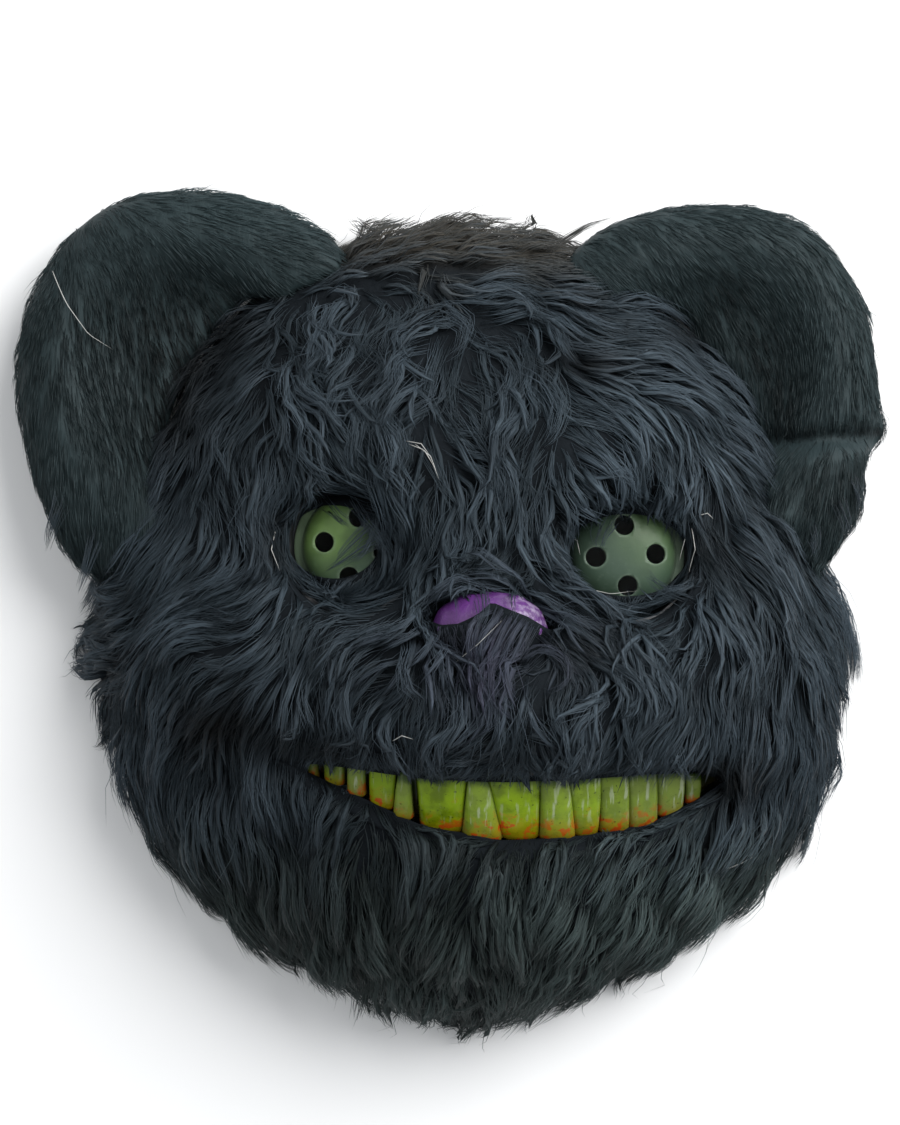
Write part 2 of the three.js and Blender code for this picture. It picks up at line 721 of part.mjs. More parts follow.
function earPad(ear, grow) {
  const points = [];
  const faces = [];
  const frame = earFrame(ear);
  const last = EAR_SECTION.length - 1;
  const at = (side) => (ring, angle) => {
    const row = EAR_SECTION[ring];
    const radius = (EAR_RADIUS * roundTable(ear.outline, angle) + grow) * row.out;
    const edge = ring === last ? 0 : grow;
    const height = EAR_ROLL * row[side] + (side === "front" ? edge : -edge);
    const local = new THREE.Vector3(
      radius * Math.cos(angle * degrees),
      radius * Math.sin(angle * degrees),
      height,
    );
    return local.applyMatrix4(frame);
  };
  const front = new RingedDisc(points, faces, last, EAR_SPOKES, at("front"), true);
  const back = new RingedDisc(points, faces, last, EAR_SPOKES, at("back"), false);
  joinEdges(faces, front.edge, back.edge);
  return solidOf(geometryFromPoints(points, faces));
}

// A crease across the ear's roll, cut as a long wedge.
function earFold(ear, fold) {
  const length = EAR_RADIUS * (fold.to - fold.from);
  const [half, deep] = [(EAR_ROLL * fold.width) / 2, EAR_ROLL * fold.depth];
  const wedge = new THREE.Shape([
    new THREE.Vector2(-half, half),
    new THREE.Vector2(0, -deep),
    new THREE.Vector2(half, half),
  ]);
  const geometry = new THREE.ExtrudeGeometry(wedge, { depth: length, bevelEnabled: false });
  geometry.rotateX(Math.PI / 2).rotateZ(Math.PI / 2);
  geometry.translate(EAR_RADIUS * fold.from, 0, EAR_ROLL * EAR_SECTION[4].front);
  geometry.rotateZ(fold.angle * degrees);
  return solidOf(geometry.applyMatrix4(earFrame(ear)));
}

// A loose lock at the ear's edge, hanging the way of the pile.
function earLock(ear, angle, grow) {
  const radius = EAR_RADIUS * roundTable(ear.outline, angle) - EAR_LOCK_WIDTH / 2;
  const frame = earFrame(ear);
  const middles = [0, 1, 2, 3].map((step) => {
    const point = new THREE.Vector3(
      radius * Math.cos(angle * degrees),
      radius * Math.sin(angle * degrees) - (EAR_LOCK_LENGTH * step) / 3,
      0,
    );
    return point.applyMatrix4(frame);
  });
  const up = new THREE.Vector3(0, 0, 1);
  const [width, thickness] = [EAR_LOCK_WIDTH + 2 * grow, EAR_LOCK_THICKNESS + 2 * grow];
  return lockAlong(middles, [up, up, up], width, thickness);
}

function paddedEar(ear, grow) {
  let pad = earPad(ear, grow);
  for (const fold of ear.folds) pad = pad.subtract(earFold(ear, fold));
  for (const angle of ear.lockAngles) pad = pad.add(earLock(ear, angle, grow));
  return pad;
}

// Reach of the shell's rim to one side at a height in plan.
function rimReach(y, side) {
  let reach = FACE_RADIUS;
  for (let pass = 0; pass < 6; pass += 1) {
    const angle = Math.atan2(y, side * reach) / degrees;
    reach = Math.abs(faceRadius(angle) * Math.cos(angle * degrees));
  }
  return side * reach;
}

// Elastic strap across the back: flat on the surface, turned up along the shell's two sides.
function headStrap() {
  const inset = SHELL_WALL + FIT_GAP + STRAP_THICKNESS + STRAP_SLACK;
  const upper = STRAP_HEIGHT_Y + STRAP_WIDTH / 2;
  const [left, right] = [rimReach(upper, -1) + inset, rimReach(upper, 1) - inset];
  const low = FIT_GAP;
  const path = (out) => {
    const shape = new THREE.Path();
    const bend = STRAP_BEND + out;
    shape.moveTo(left - out, STRAP_TURN_UP);
    shape.lineTo(left - out, low + STRAP_BEND + STRAP_THICKNESS);
    shape.absarc(left - out + bend, low - out + STRAP_THICKNESS + bend, bend, Math.PI, 1.5 * Math.PI);
    shape.lineTo(right + out - bend, low - out + STRAP_THICKNESS);
    shape.absarc(right + out - bend, low - out + STRAP_THICKNESS + bend, bend, -Math.PI / 2, 0);
    shape.lineTo(right + out, STRAP_TURN_UP);
    return shape.getPoints(3);
  };
  const band = new THREE.Shape([...path(STRAP_THICKNESS), ...path(0).reverse()]);
  const geometry = new THREE.ExtrudeGeometry(band, { depth: STRAP_WIDTH, bevelEnabled: false });
  geometry.rotateX(Math.PI / 2).translate(0, STRAP_HEIGHT_Y + STRAP_WIDTH / 2, 0);
  const behindShell = faceSolid(-SHELL_WALL - FIT_GAP, 0);
  return solidOf(geometry).intersect(behindShell);
}

const MATERIALS = {
  shell: new THREE.MeshStandardMaterial({ color: 0x15171a, roughness: 0.45 }),
  eye: new THREE.MeshStandardMaterial({ color: 0x7d9a5a, roughness: 0.3 }),
  nose: new THREE.MeshStandardMaterial({ color: 0x6a2c8a, roughness: 0.35 }),
  teeth: new THREE.MeshStandardMaterial({ color: 0x9db32c, roughness: 0.3 }),
  fur: new THREE.MeshStandardMaterial({ color: 0x22272b, roughness: 0.9 }),
  strap: new THREE.MeshStandardMaterial({ color: 0x0e0f10, roughness: 0.95 }),
};

function buildMask() {
  const eyes = { left: eyeSeat(EYES.left), right: eyeSeat(EYES.right) };
  const frames = [eyes.left, eyes.right];
  const guards = Object.values(EARS).map((ear) => paddedEar(ear, 2 * FIT_GAP));
  const cleared = faceSolid(FIT_GAP + PILE_DEPTH + FIT_GAP, EAR_ROLL);
  const pieces = {
    face_shell: [faceShell(frames), MATERIALS.shell],
    eye_dome_left: [eyeDome(eyes.left, EYES.left.turn), MATERIALS.eye],
    eye_dome_right: [eyeDome(eyes.right, EYES.right.turn), MATERIALS.eye],
    nose: [noseOnShell(), MATERIALS.nose],
    teeth: [toothStrip(), MATERIALS.teeth],
    face_fur: [furCover(frames, guards), MATERIALS.fur],
    ear_left: [paddedEar(EARS.left, 0).subtract(cleared), MATERIALS.fur],
    ear_right: [paddedEar(EARS.right, 0).subtract(cleared), MATERIALS.fur],
    head_strap: [headStrap(), MATERIALS.strap],
  };
  const mask = new THREE.Group();
  for (const [name, [solid, material]] of Object.entries(pieces)) {
    const mesh = new THREE.Mesh(geometryOf(solid), material);
    mesh.name = name;
    mask.add(mesh);
  }
  const box = new THREE.Box3().setFromObject(mask);
  mask.position.set(-(box.min.x + box.max.x) / 2, -(box.min.y + box.max.y) / 2, -box.min.z);
  return mask;
}

export default buildMask();
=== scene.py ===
"""Looks of the plush bear mask, dressed on its packed frame.

The mask lies face up on its back rim. +X is to the right of the face as one looks at it, +Y runs
to the crown and +Z comes out of the face. Lengths are in metres. Places on the face are given in
millimetres from the middle of the face, which is at FACE_MIDDLE, because they read like a pattern.
"""

import math

import bmesh
import bpy
import numpy as np
from bpy.props import FloatProperty, FloatVectorProperty, IntProperty, PointerProperty
from mathutils import Matrix, Vector
from mathutils.bvhtree import BVHTree
from mathutils.kdtree import KDTree


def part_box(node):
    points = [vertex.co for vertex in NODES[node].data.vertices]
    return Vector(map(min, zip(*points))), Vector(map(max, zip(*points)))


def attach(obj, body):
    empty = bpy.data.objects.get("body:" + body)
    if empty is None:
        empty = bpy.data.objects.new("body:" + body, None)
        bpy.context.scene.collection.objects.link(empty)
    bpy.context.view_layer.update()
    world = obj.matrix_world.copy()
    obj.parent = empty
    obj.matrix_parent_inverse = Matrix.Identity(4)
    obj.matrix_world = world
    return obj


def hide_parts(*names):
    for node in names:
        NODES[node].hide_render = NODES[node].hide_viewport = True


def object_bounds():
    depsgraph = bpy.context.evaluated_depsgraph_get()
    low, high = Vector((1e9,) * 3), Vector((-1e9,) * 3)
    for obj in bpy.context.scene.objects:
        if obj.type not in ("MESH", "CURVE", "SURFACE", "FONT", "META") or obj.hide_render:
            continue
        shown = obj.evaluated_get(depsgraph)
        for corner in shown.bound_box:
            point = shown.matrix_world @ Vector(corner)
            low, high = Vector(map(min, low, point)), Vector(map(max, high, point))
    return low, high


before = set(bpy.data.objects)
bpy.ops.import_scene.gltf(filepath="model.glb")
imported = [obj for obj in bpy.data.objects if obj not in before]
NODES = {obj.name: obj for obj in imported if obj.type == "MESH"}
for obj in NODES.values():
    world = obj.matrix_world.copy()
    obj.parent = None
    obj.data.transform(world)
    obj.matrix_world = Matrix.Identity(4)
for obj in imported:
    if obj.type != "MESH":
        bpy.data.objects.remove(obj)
CAD_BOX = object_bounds()

bl_info = {
    "name": "Bear mask looks",
    "version": (1, 0, 0),
    "blender": (4, 5, 0),
    "location": "3D View > Sidebar > Bear mask",
    "description": "Fur, ears, eyes, nose, teeth and strap of the bear mask",
    "category": "Object",
}

MM = 0.001
FACE_MIDDLE = np.array([7.2, -9.0]) * MM

# Camera: straight down on the face, its lens in millimetres for the 36 mm long side.
CAMERA_PLACE = (0.5 * MM, 16.8 * MM, 1.0)
CAMERA_LENS = 91.2

# Lights: place, aim and size in metres.
KEY_LIGHT = ((0.8, 0.7, 1.0), (0, 0, 0.05), 1.3)
FILL_LIGHT = ((-0.8, 0.4, 1.1), (0, 0, 0.05), 1.2)

# Pieces that the pile lies on, and a height above all of them.
UNDER_THE_PILE = ("fur_backing", "nose_cap", "left_eye_dome", "right_eye_dome", "tooth_strip")
OVERHEAD = 0.3

# Growing of the pile: steps of a guide hair, then rings, sides and thickness as a share of width
# for each kind of strand and for the flat locks under them, and the most triangles in a piece.
GUIDE_STEPS = 14
LONG_STRAND = (4, 3, 0.7)
CURLED_STRAND = (9, 3, 0.7)
SHORT_STRAND = (2, 3, 0.7)
THREAD_STRAND = (14, 3, 1.0)
FLAT_LOCK = (5, 4, 0.25)
PIECE_LIMIT = 195_000

# Gathering of strands to their guides: how far they draw in as a share, and how far they stray.
FACE_GATHER = (0.48, 1.3 * MM)
EAR_GATHER = (0.3, 0.5 * MM)

# Shares of their length below which locks and strands are left out, and the tone of the painted
# shade at the roots of each kind of pile.
LEAST_LOCK = 0.3
LEAST_STRAND = 0.15
LONG_ROOT_TONE = 0.65
SHORT_ROOT_TONE = 0.85
STRAY_ROOT_TONE = 0.55

# Seeds of all that is random.
SWIRL_SEED = 3
CREST_SEED = 4
FACE_SEED = 11
EAR_SEEDS = {"left": 21, "right": 22}
STRAY_SEED = 31

# Ways of the pile: blend of the combing, length of its swirls and crests, sinking of the tips as a
# share of a step, how well the guides cling to the ground as a share, and room for the tips to
# stand off it.
COMB_BLEND = 15 * MM
SWIRL_LENGTH = 34 * MM
CREST_LENGTH = 20 * MM
DROOP = 0.25
CLING = 0.97
TIP_ROOM = 9 * MM

# Ground under the pile: least upward part of the normal of a face that guides lie on, margin and
# steps of the height grids, gap over the ground, most that a sunk point is raised, and gap over the
# floor.
LEAST_RISE = -0.3
RELIEF_MARGIN = 20 * MM
FACE_RELIEF = 1.5 * MM
EAR_RELIEF = 3 * MM
GROUND_GAP = 0.7 * MM
MOST_SUNK = 7 * MM
FLOOR_GAP = 0.5 * MM

# Roots: reach of the edge strands from a bare part, how many more places are tried than wanted
# over the face and along its edges, and free room in front of a root on the face and on an ear.
EDGE_REACH = 5 * MM
FACE_TRIES = 4
EDGE_TRIES = 60
FACE_ROOM = 14 * MM
EAR_ROOM = 10 * MM

# Hems of the fur cloth: wall, lift over what they lie on, lowest place that they rest on, radius
# round an eye's middle, width along the lips in mm, and the most that a hem drops below its middle
# height, beside the nose and elsewhere.
HEM_WALL = 0.5 * MM
HEM_LIFT = 0.8 * MM
HEM_LOWEST = 20 * MM
EYE_HEM = 25 * MM
LIP_HEM = 6
NOSE_DROP = 14 * MM
FREE_DROP = 1.0

# Ears: frames of the cloth simulation, loft of their pile and how wild it is as a share.
CLOTH_FRAMES = 20
EAR_LOFT = 1.2 * MM
EAR_WILDNESS = 0.4

# Eyes: width of the flange of a dome, and sides of the dome and of a sight hole.
DOME_FLANGE = 3 * MM
DOME_SIDES = 72
HOLE_SIDES = 28

# Nose: voxel size before it is smoothed.
NOSE_VOXEL = 1.1 * MM

# Strap: radius of the bends at its turned-up ends, wall, ribs, and the room for them below it.
STRAP_BEND = 6 * MM
STRAP_WALL = 0.9 * MM
STRAP_RIBS = 9
RIB_HEIGHT = 0.12 * MM
STRAP_LIFT = 0.2 * MM

# How the long pile is combed: place on the face in mm, direction of the tips in degrees from +X
# towards +Y, then length, wave and disorder as shares of the longest and the wildest.
COMBING = (
    (-55, 128, 40, 0.35, 0.2, 0.4),
    (-40, 140, 25, 0.35, 0.2, 0.4),
    (-22, 142, 15, 0.35, 0.2, 0.3),
    (-4, 146, 8, 0.35, 0.2, 0.4),
    (8, 142, -2, 0.35, 0.2, 0.3),
    (20, 144, -8, 0.35, 0.2, 0.3),
    (40, 138, -18, 0.35, 0.2, 0.3),
    (-35, 124, -50, 0.45, 0.3, 0.3),
    (10, 128, -30, 0.45, 0.3, 0.3),
    (-10, 112, -85, 0.8, 0.6, 0.8),
    (-40, 105, -95, 0.9, 0.7, 0.6),
    (-10, 96, -100, 0.9, 0.7, 0.8),
    (20, 95, -80, 0.9, 0.7, 0.8),
    (-70, 113, -112, 0.5, 0.6, 0.3),
    (-86, 88, -97, 0.6, 0.6, 0.3),
    (-92, 62, -88, 0.7, 0.6, 0.3),
    (-60, 85, -85, 1.0, 0.8, 0.6),
    (-77, 53, -68, 0.9, 0.8, 0.4),
    (10, 118, -5, 0.8, 0.8, 0.4),
    (35, 122, -8, 0.9, 0.6, 0.3),
    (45, 96, -8, 1.0, 0.5, 0.2),
    (75, 92, -42, 0.7, 0.4, 0.2),
    (92, 62, -60, 0.9, 0.5, 0.3),
    (62, 74, -25, 1.0, 0.5, 0.3),
    (25, 75, -80, 1.0, 0.7, 0.7),
    (-15, 75, -90, 1.0, 0.8, 0.8),
    (-102, 40, -105, 0.9, 0.4, 0.2),
    (-55, 62, -65, 0.9, 0.7, 0.5),
    (-30, 52, -70, 0.9, 0.6, 0.4),
    (-10, 45, -85, 0.8, 0.7, 0.5),
    (15, 30, -95, 0.8, 0.7, 0.5),
    (20, 52, -92, 0.9, 0.8, 0.6),
    (43, 55, -65, 0.8, 0.4, 0.3),
    (77, 52, -110, 0.8, 0.4, 0.3),
    (108, 23, -76, 1.0, 0.4, 0.3),
    (93, 2, -90, 1.0, 0.6, 0.3),
    (40, -4, -55, 0.9, 0.9, 0.9),
    (60, -2, -120, 0.9, 0.8, 0.8),
    (83, -22, -125, 1.0, 0.7, 0.2),
    (74, -30, -138, 1.0, 0.6, 0.3),
    (43, -23, -118, 0.8, 0.7, 0.6),
    (10, -25, -95, 0.7, 0.7, 0.6),
    (-18, -22, -100, 0.8, 0.6, 0.5),
    (-20, 2, -110, 0.8, 0.5, 0.4),
    (-47, -26, -88, 0.8, 0.4, 0.3),
    (-50, 2, -130, 0.9, 0.4, 0.3),
    (-88, 2, -165, 0.8, 0.4, 0.2),
    (-128, -4, 188, 0.3, 0.3, 0.3),
    (-122, -25, -130, 0.5, 0.3, 0.3),
    (-105, -28, -112, 0.9, 0.4, 0.3),
    (-70, -22, -115, 0.8, 0.4, 0.3),
    (-100, -57, -77, 1.0, 0.3, 0.2),
    (-63, -75, -85, 1.0, 0.3, 0.2),
    (-35, -60, -95, 1.0, 0.4, 0.3),
    (-52, -112, -85, 0.6, 0.2, 0.3),
    (-35, -116, -88, 0.35, 0.2, 0.2),
    (-15, -90, -104, 0.75, 0.3, 0.2),
    (-10, -118, -90, 0.25, 0.2, 0.2),
    (30, -75, -114, 0.85, 0.4, 0.3),
    (63, -83, -130, 0.6, 0.3, 0.2),
    (45, -105, -122, 0.4, 0.2, 0.2),
    (108, -57, -114, 0.6, 0.3, 0.2),
    (106, -33, -65, 0.9, 0.4, 0.3),
    (12, -112, -90, 0.45, 0.2, 0.2),
    (20, -128, -110, 0.35, 0.2, 0.3),
)

# How the short pile of the two ears is combed, in the same terms.
EAR_COMBING = (
    (-150, 110, -95, 0.8, 0.2, 0.1),
    (-130, 140, -60, 0.7, 0.2, 0.1),
    (-100, 150, -20, 0.7, 0.2, 0.1),
    (-60, 140, -15, 0.7, 0.2, 0.1),
    (-110, 110, -80, 0.8, 0.3, 0.2),
    (-80, 105, -60, 0.9, 0.4, 0.3),
    (-145, 70, -88, 0.9, 0.2, 0.1),
    (-120, 50, -85, 1.2, 0.3, 0.2),
    (-135, 30, -85, 1.4, 0.3, 0.2),
    (60, 130, -45, 0.8, 0.3, 0.2),
    (80, 105, -58, 0.9, 0.4, 0.2),
    (100, 145, -30, 0.7, 0.2, 0.1),
    (135, 120, -75, 0.7, 0.2, 0.1),
    (140, 85, -95, 0.8, 0.2, 0.1),
    (110, 80, -80, 0.9, 0.3, 0.2),
    (125, 45, -100, 1.2, 0.5, 0.5),
    (115, 30, -95, 1.3, 0.4, 0.3),
)

# Windows in the pile over the eyes: middle of each from the middle of its dome, and half width
# and half height, in mm.
EYE_WINDOWS = {
    "eye_dome_left": (-7.5, 1.5, 15.0, 12.0),
    "eye_dome_right": (1.5, 0.5, 20.0, 13.5),
}

# Lip line over the mouth, from corner to corner: place, upper and lower edge, in mm. The pile
# ends LIP_FRINGE above each edge.
LIP_FRINGE = 0.8
LIPS = (
    (-73.0, -36.0, -36.0),
    (-55.5, -38.5, -42.5),
    (-39.5, -40.0, -50.0),
    (-16.0, -43.0, -61.0),
    (10.5, -44.0, -66.0),
    (36.0, -43.5, -65.0),
    (59.0, -42.5, -62.0),
    (75.0, -42.5, -54.0),
    (86.0, -46.5, -46.5),
)

# Bare part of the nose, an arc along its upper edge: points in mm and half width there.
NOSE_ARC = (
    (-13.5, 10.0, 2.8),
    (-10.0, 10.5, 4.6),
    (-4.0, 11.0, 4.6),
    (2.0, 12.5, 3.2),
    (6.5, 14.5, 1.2),
    (11.0, 13.8, 2.4),
    (18.0, 11.0, 2.4),
    (25.5, 5.5, 1.4),
)

# Nostrils: place from the nose's middle, reach both ways and depth, in mm.
NOSTRILS = ((-8, -7, 3.5, 2.5, 2.5), (8, -7, 3.5, 2.5, 2.5))

# Tints of the hair over the nose and on the jaw, as shares of its tone. The nose's is strongest in
# one place: x, y, reach both ways in mm, and its share there. The jaw's starts below JAW_TOP.
NOSE_TINT = (1.3, 0.65, 1.8)
NOSE_MARK = (6, 2, 16, 11, 0.3)
JAW_TINT = (0.97, 0.97, 0.77)
JAW_TOP = -45
JAW_BLEND = 30

# Faded strip along the crown: where it starts and how far it blends in y, then its middle, half
# width and blend in x, in mm.
CROWN_STRIP = (116, 14, -8, 75, 25)

# Pieces that the pile of the face is made in, the rest being the cheek's. A later row takes its
# part from the rows before it: name, least and most x, least and most y, in mm. FAR is beyond the
# edge of the face.
FAR = 999
PILE_PARTS = (
    ("muzzle_pile", -FAR, 10, -FAR, FAR),
    ("brow_pile", -FAR, FAR, 45, FAR),
    ("crown_pile", -FAR, FAR, 88, FAR),
    ("left_jaw_pile", -FAR, FAR, -FAR, -48),
    ("right_jaw_pile", 5, FAR, -FAR, -48),
)

# Backing along the crown, where the short faded pile is thin: its colour, and the two places
# along y in metres between which it sets in.
CROWN_BACKING = (0.03, 0.027, 0.022)
CROWN_FADE = (0.112, 0.126)

# Colours of marks on the plastics, among them painted shade on the eyes and between the teeth and
# painted highlights on the nose and the teeth, and the two places along x in metres between which
# the painted highlight of the nose sets in.
SCRAPED_EYE = (0.2, 0.26, 0.2)
EYE_GRIME_AND_SHADE = (0.012, 0.024, 0.013)
NOSE_HIGHLIGHT_COLOUR = (0.35, 0.3, 0.4)
NOSE_HIGHLIGHT_SPAN = (0.014, 0.024)
ORANGE_TIP = (0.33, 0.15, 0.001)
TOOTH_SPECK = (0.02, 0.03, 0.003)
TOOTH_HIGHLIGHT = (0.46, 0.52, 0.36)
TOOTH_GAP_SHADE = (0.008, 0.016, 0.003)

# Darker and lighter tone of the shell, of the elastic and of the threads. The shell's are so dark
# that they are also painted shade where the shell shows through the sight holes.
SHELL_TONES_AND_SHADE = ((0.006, 0.0065, 0.008), (0.018, 0.019, 0.022))
ELASTIC_TONES = ((0.008, 0.008, 0.009), (0.03, 0.03, 0.033))
THREAD_TONES = ((0.3, 0.3, 0.28), (0.6, 0.6, 0.58))

# The teeth from left to right: left and right edge at the gum, left and right edge at the tip,
# upper and lower end, all in mm, then how pale a tooth is and how far it stands forward, as
# shares.
TEETH = (
    (-65.0, -59.5, -65.0, -59.5, -35.0, -42.5, 0.9, 0.1),
    (-57.0, -50.0, -56.5, -49.5, -35.5, -45.5, 0.8, 0.3),
    (-47.0, -41.0, -47.0, -41.0, -37.0, -47.5, 0.5, 0.1),
    (-39.0, -34.0, -39.5, -34.0, -37.5, -51.0, 1.0, 0.5),
    (-32.5, -24.0, -32.5, -24.5, -39.0, -55.5, 0.1, 0.2),
    (-23.0, -19.5, -25.0, -18.5, -42.5, -58.5, 0.8, 0.7),
    (-17.5, -1.0, -16.0, -2.5, -41.5, -64.0, 0.0, 0.3),
    (-0.5, 5.0, -3.0, 11.0, -42.0, -66.5, 0.55, 0.9),
    (4.5, 22.5, 10.5, 22.5, -41.5, -66.0, 0.05, 0.3),
    (22.5, 31.0, 22.5, 34.5, -41.5, -66.5, 0.5, 0.9),
    (31.0, 42.5, 34.0, 41.5, -42.5, -65.0, 0.3, 0.4),
    (42.0, 51.0, 42.0, 52.0, -41.0, -64.5, 0.6, 0.5),
    (51.0, 61.0, 52.0, 61.5, -42.0, -64.0, 0.85, 0.2),
    (61.0, 70.5, 61.5, 69.5, -43.0, -59.0, 1.0, 0.4),
    (71.0, 76.0, 71.0, 75.0, -45.0, -54.5, 1.0, 0.2),
)

# Gum strip behind the teeth: its left end and length in mm, depth behind the gumline and tone as a
# share of the teeth's. The teeth at the sides are darker by up to SIDE_SHADE.
GUM_START = -70
GUM_LENGTH = 158
GUM_DEPTH = 0.9 * MM
GUM_TONE = 0.4
SIDE_SHADE = 0.45
TOOTH_WALL = 0.8 * MM

# Painted light and shade of the pile: middle and reach in mm, then how much darker. Deep places that
# the light hardly reaches get painted shade, and places where the light falls get painted light,
# which is below zero.
PAINTED_LIGHT_AND_SHADE = (
    (-83, -28, 18, 11, 0.95),
    (-56, -34, 22, 5, 0.6),
    (86, -47, 14, 8, 0.85),
    (-80, 106, 13, 11, 0.7),
    (-94, 94, 12, 12, 0.75),
    (-101, 74, 11, 12, 0.7),
    (-116, 59, 10, 9, 0.5),
    (88, 116, 8, 9, 0.7),
    (100, 98, 9, 13, 0.75),
    (107, 80, 8, 12, 0.7),
    (38, 91, 12, 6, 0.8),
    (76, 104, 10, 6, 0.7),
    (10, 63, 6, 4, 0.5),
    (-66, 32, 5, 11, 0.6),
    (78, 30, 6, 11, 0.6),
    (38, 0, 12, 9, 0.45),
    (22, -12, 8, 6, 0.35),
    (0, -36, 44, 5, 0.35),
    (-40, -10, 30, 16, 0.2),
    (3, -70, 48, 4, 0.35),
    (-57, -87, 38, 28, 0.35),
    (-105, 102, 20, 26, 0.78),
    (-98, 70, 24, 20, 0.35),
    (122, 52, 24, 15, 0.4),
    (-138, 95, 14, 34, 0.4),
    (140, 100, 10, 25, 0.12),
    (-5, -84, 44, 20, 0.25),
    (106, 67, 7, 3, 0.6),
    (118, 67.5, 9, 3, 0.6),
    (133, 69, 9, 3, 0.6),
    (-85, 142, 32, 12, -0.5),
    (62, -88, 36, 22, -0.75),
    (52, 68, 34, 18, -0.55),
    (75, 5, 16, 26, -0.1),
)

# Right ear: ends of the crease across its roll in mm, its reach, depth and the gap that the pile
# leaves, then dents and bumps of the ear's outline, each a place, its reach both ways and how far
# it is pushed to the right, in mm.
EAR_CREASE = ((103, 67), (141, 69))
CREASE_REACH = 4 * MM
CREASE_DEPTH = 7 * MM
CREASE_GAP = 0.6 * MM
EAR_PUSHES = (
    (140, 71, 7, 4, 2.5),
    (141, 58, 9, 6, -3.5),
    (136, 40, 10, 6, 2.5),
    (126, 24, 9, 5, -2.0),
)

# Stray locks that the combing doesn't give: strands, spread in mm, then points along the lock.
# Beyond the edge of the mask a lock or a thread hangs on the surface that is nearest to it at
# EDGE_HEIGHT, and it falls no faster than STEEPEST, as height over run.
EDGE_HEIGHT = 20 * MM
STEEPEST = 0.5
STRAY_LOCKS = (
    (14, 1.0, ((26, 130), (33, 136), (41, 141), (52, 144))),
    (16, 1.5, ((-74, -100), (-75, -104), (-71, -110), (-67, -113))),
    (12, 1.5, ((-64, -96), (-65, -104), (-66, -112))),
    (12, 1.5, ((-60, -98), (-61, -105), (-62, -112))),
    (14, 2.0, ((-51, -104), (-53, -111), (-54, -118))),
    (14, 2.0, ((-45, -105), (-46, -112), (-48, -120))),
    (18, 2.5, ((-36, -112), (-37, -121), (-39, -131))),
    (16, 2.0, ((-31, -110), (-32, -119), (-33, -128))),
    (12, 1.5, ((-26, -110), (-27, -118), (-28, -126))),
    (12, 0.8, ((9, -119), (-2, -126), (-12, -125), (-24, -127))),
    (8, 0.8, ((-4, -126), (-14, -121), (-22, -119))),
    (50, 5.0, ((26, -112), (22, -122), (15, -132))),
    (40, 4.0, ((12, -110), (12, -120), (8, -129))),
    (8, 1.0, ((120, 4), (125, -2), (131, -9))),
    (16, 1.2, ((17, -6), (20, -2), (26, -2), (31, -6), (31, -12), (26, -15), (20, -13))),
    (12, 1.6, ((-31, 43), (-32, 36), (-35, 30), (-39, 25))),
    (14, 2.0, ((-38, 44), (-34, 38), (-30, 33), (-27, 27))),
    (10, 1.5, ((-46, 44), (-42, 40), (-38, 37))),
    (16, 2.0, ((-28, 35), (-35, 31), (-42, 26), (-49, 22))),
    (12, 1.5, ((-30, 40), (-36, 35), (-42, 29), (-45, 25))),
    (12, 2.5, ((46, 42), (43, 36), (42, 29))),
    (12, 2.0, ((50, -30), (53, -38), (57, -46))),
    (10, 1.5, ((64, -32), (67, -40), (72, -47))),
    (6, 1.5, ((36, -34), (34, -41), (31, -47))),
    (6, 1.5, ((-46, -30), (-46, -37), (-44, -44))),
    (10, 2.0, ((72, 14), (66, 16), (60, 20), (57, 23))),
    (10, 1.4, ((2, 22), (4, 16), (4, 9), (1, 2))),
    (8, 1.0, ((-9, 20), (-5, 15), (-4, 8))),
    (8, 1.0, ((15, 20), (13, 14), (14, 8))),
    (30, 3.0, ((18, 88), (26, 84), (30, 76), (27, 67), (21, 62))),
    (24, 2.5, ((-16, 104), (-8, 108), (-1, 103), (-3, 95), (-10, 91))),
    (16, 2.0, ((-138, 46), (-141, 38), (-143, 30))),
    (16, 2.0, ((-127, 34), (-130, 24), (-133, 15))),
    (12, 1.5, ((130, 54), (132, 48), (132, 42))),
    (12, 1.5, ((124, 46), (127, 39), (127, 33))),
    (12, 1.5, ((116, 38), (117, 32), (115, 27))),
    (24, 2.5, ((-30, 134), (-36, 139), (-42, 143))),
    (26, 2.5, ((-18, 136), (-10, 141), (-3, 145))),
    (16, 2.0, ((6, 135), (13, 138), (19, 139))),
    (10, 1.5, ((-122, 4), (-129, 2), (-134, 0))),
    (10, 1.5, ((-120, -5), (-127, -6), (-132, -9))),
    (10, 1.5, ((-114, -14), (-121, -16), (-127, -18))),
)

# The eyes: node, piece, turn of the four sight holes in degrees, then the side with painted light and
# the side with painted shade, each a place from the dome's middle in mm and a strength.
EYES = (
    ("eye_dome_left", "left_eye_dome", -9, (-11, 6, 1.0), (19, -3, 0.6)),
    ("eye_dome_right", "right_eye_dome", 3, (12, 10, 0.35), (-6, -22, 0.5)),
)

# Pale threads caught in the pile: their width, their lift, and points on the face in mm.
THREAD_WIDTH = 0.45 * MM
THREAD_LIFT = 8 * MM
THREADS = (
    ((-142, 125), (-136, 113), (-129, 103), (-121, 98)),
    ((-20, 64), (-15, 62), (-12, 57), (-10, 52)),
    ((-21, 65), (-16, 64), (-13, 60)),
    ((-18, 64), (-13, 60), (-11, 55)),
    ((32, 35), (35, 33), (36, 28)),
    ((70, 40), (71, 34), (69, 26)),
    ((74, 41), (78, 42), (80, 40)),
    ((-5, -6), (2, 0), (10, 8)),
    ((35, 20), (39, 17), (46, 15.5), (55, 16.5)),
    ((73, 37), (74, 30), (72, 22)),
    ((-64, 36), (-65, 30), (-62, 23)),
    ((-25, -31), (-22, -29), (-18, -30)),
    ((86, -77), (91, -75), (95, -73)),
)


# Fields of the settings


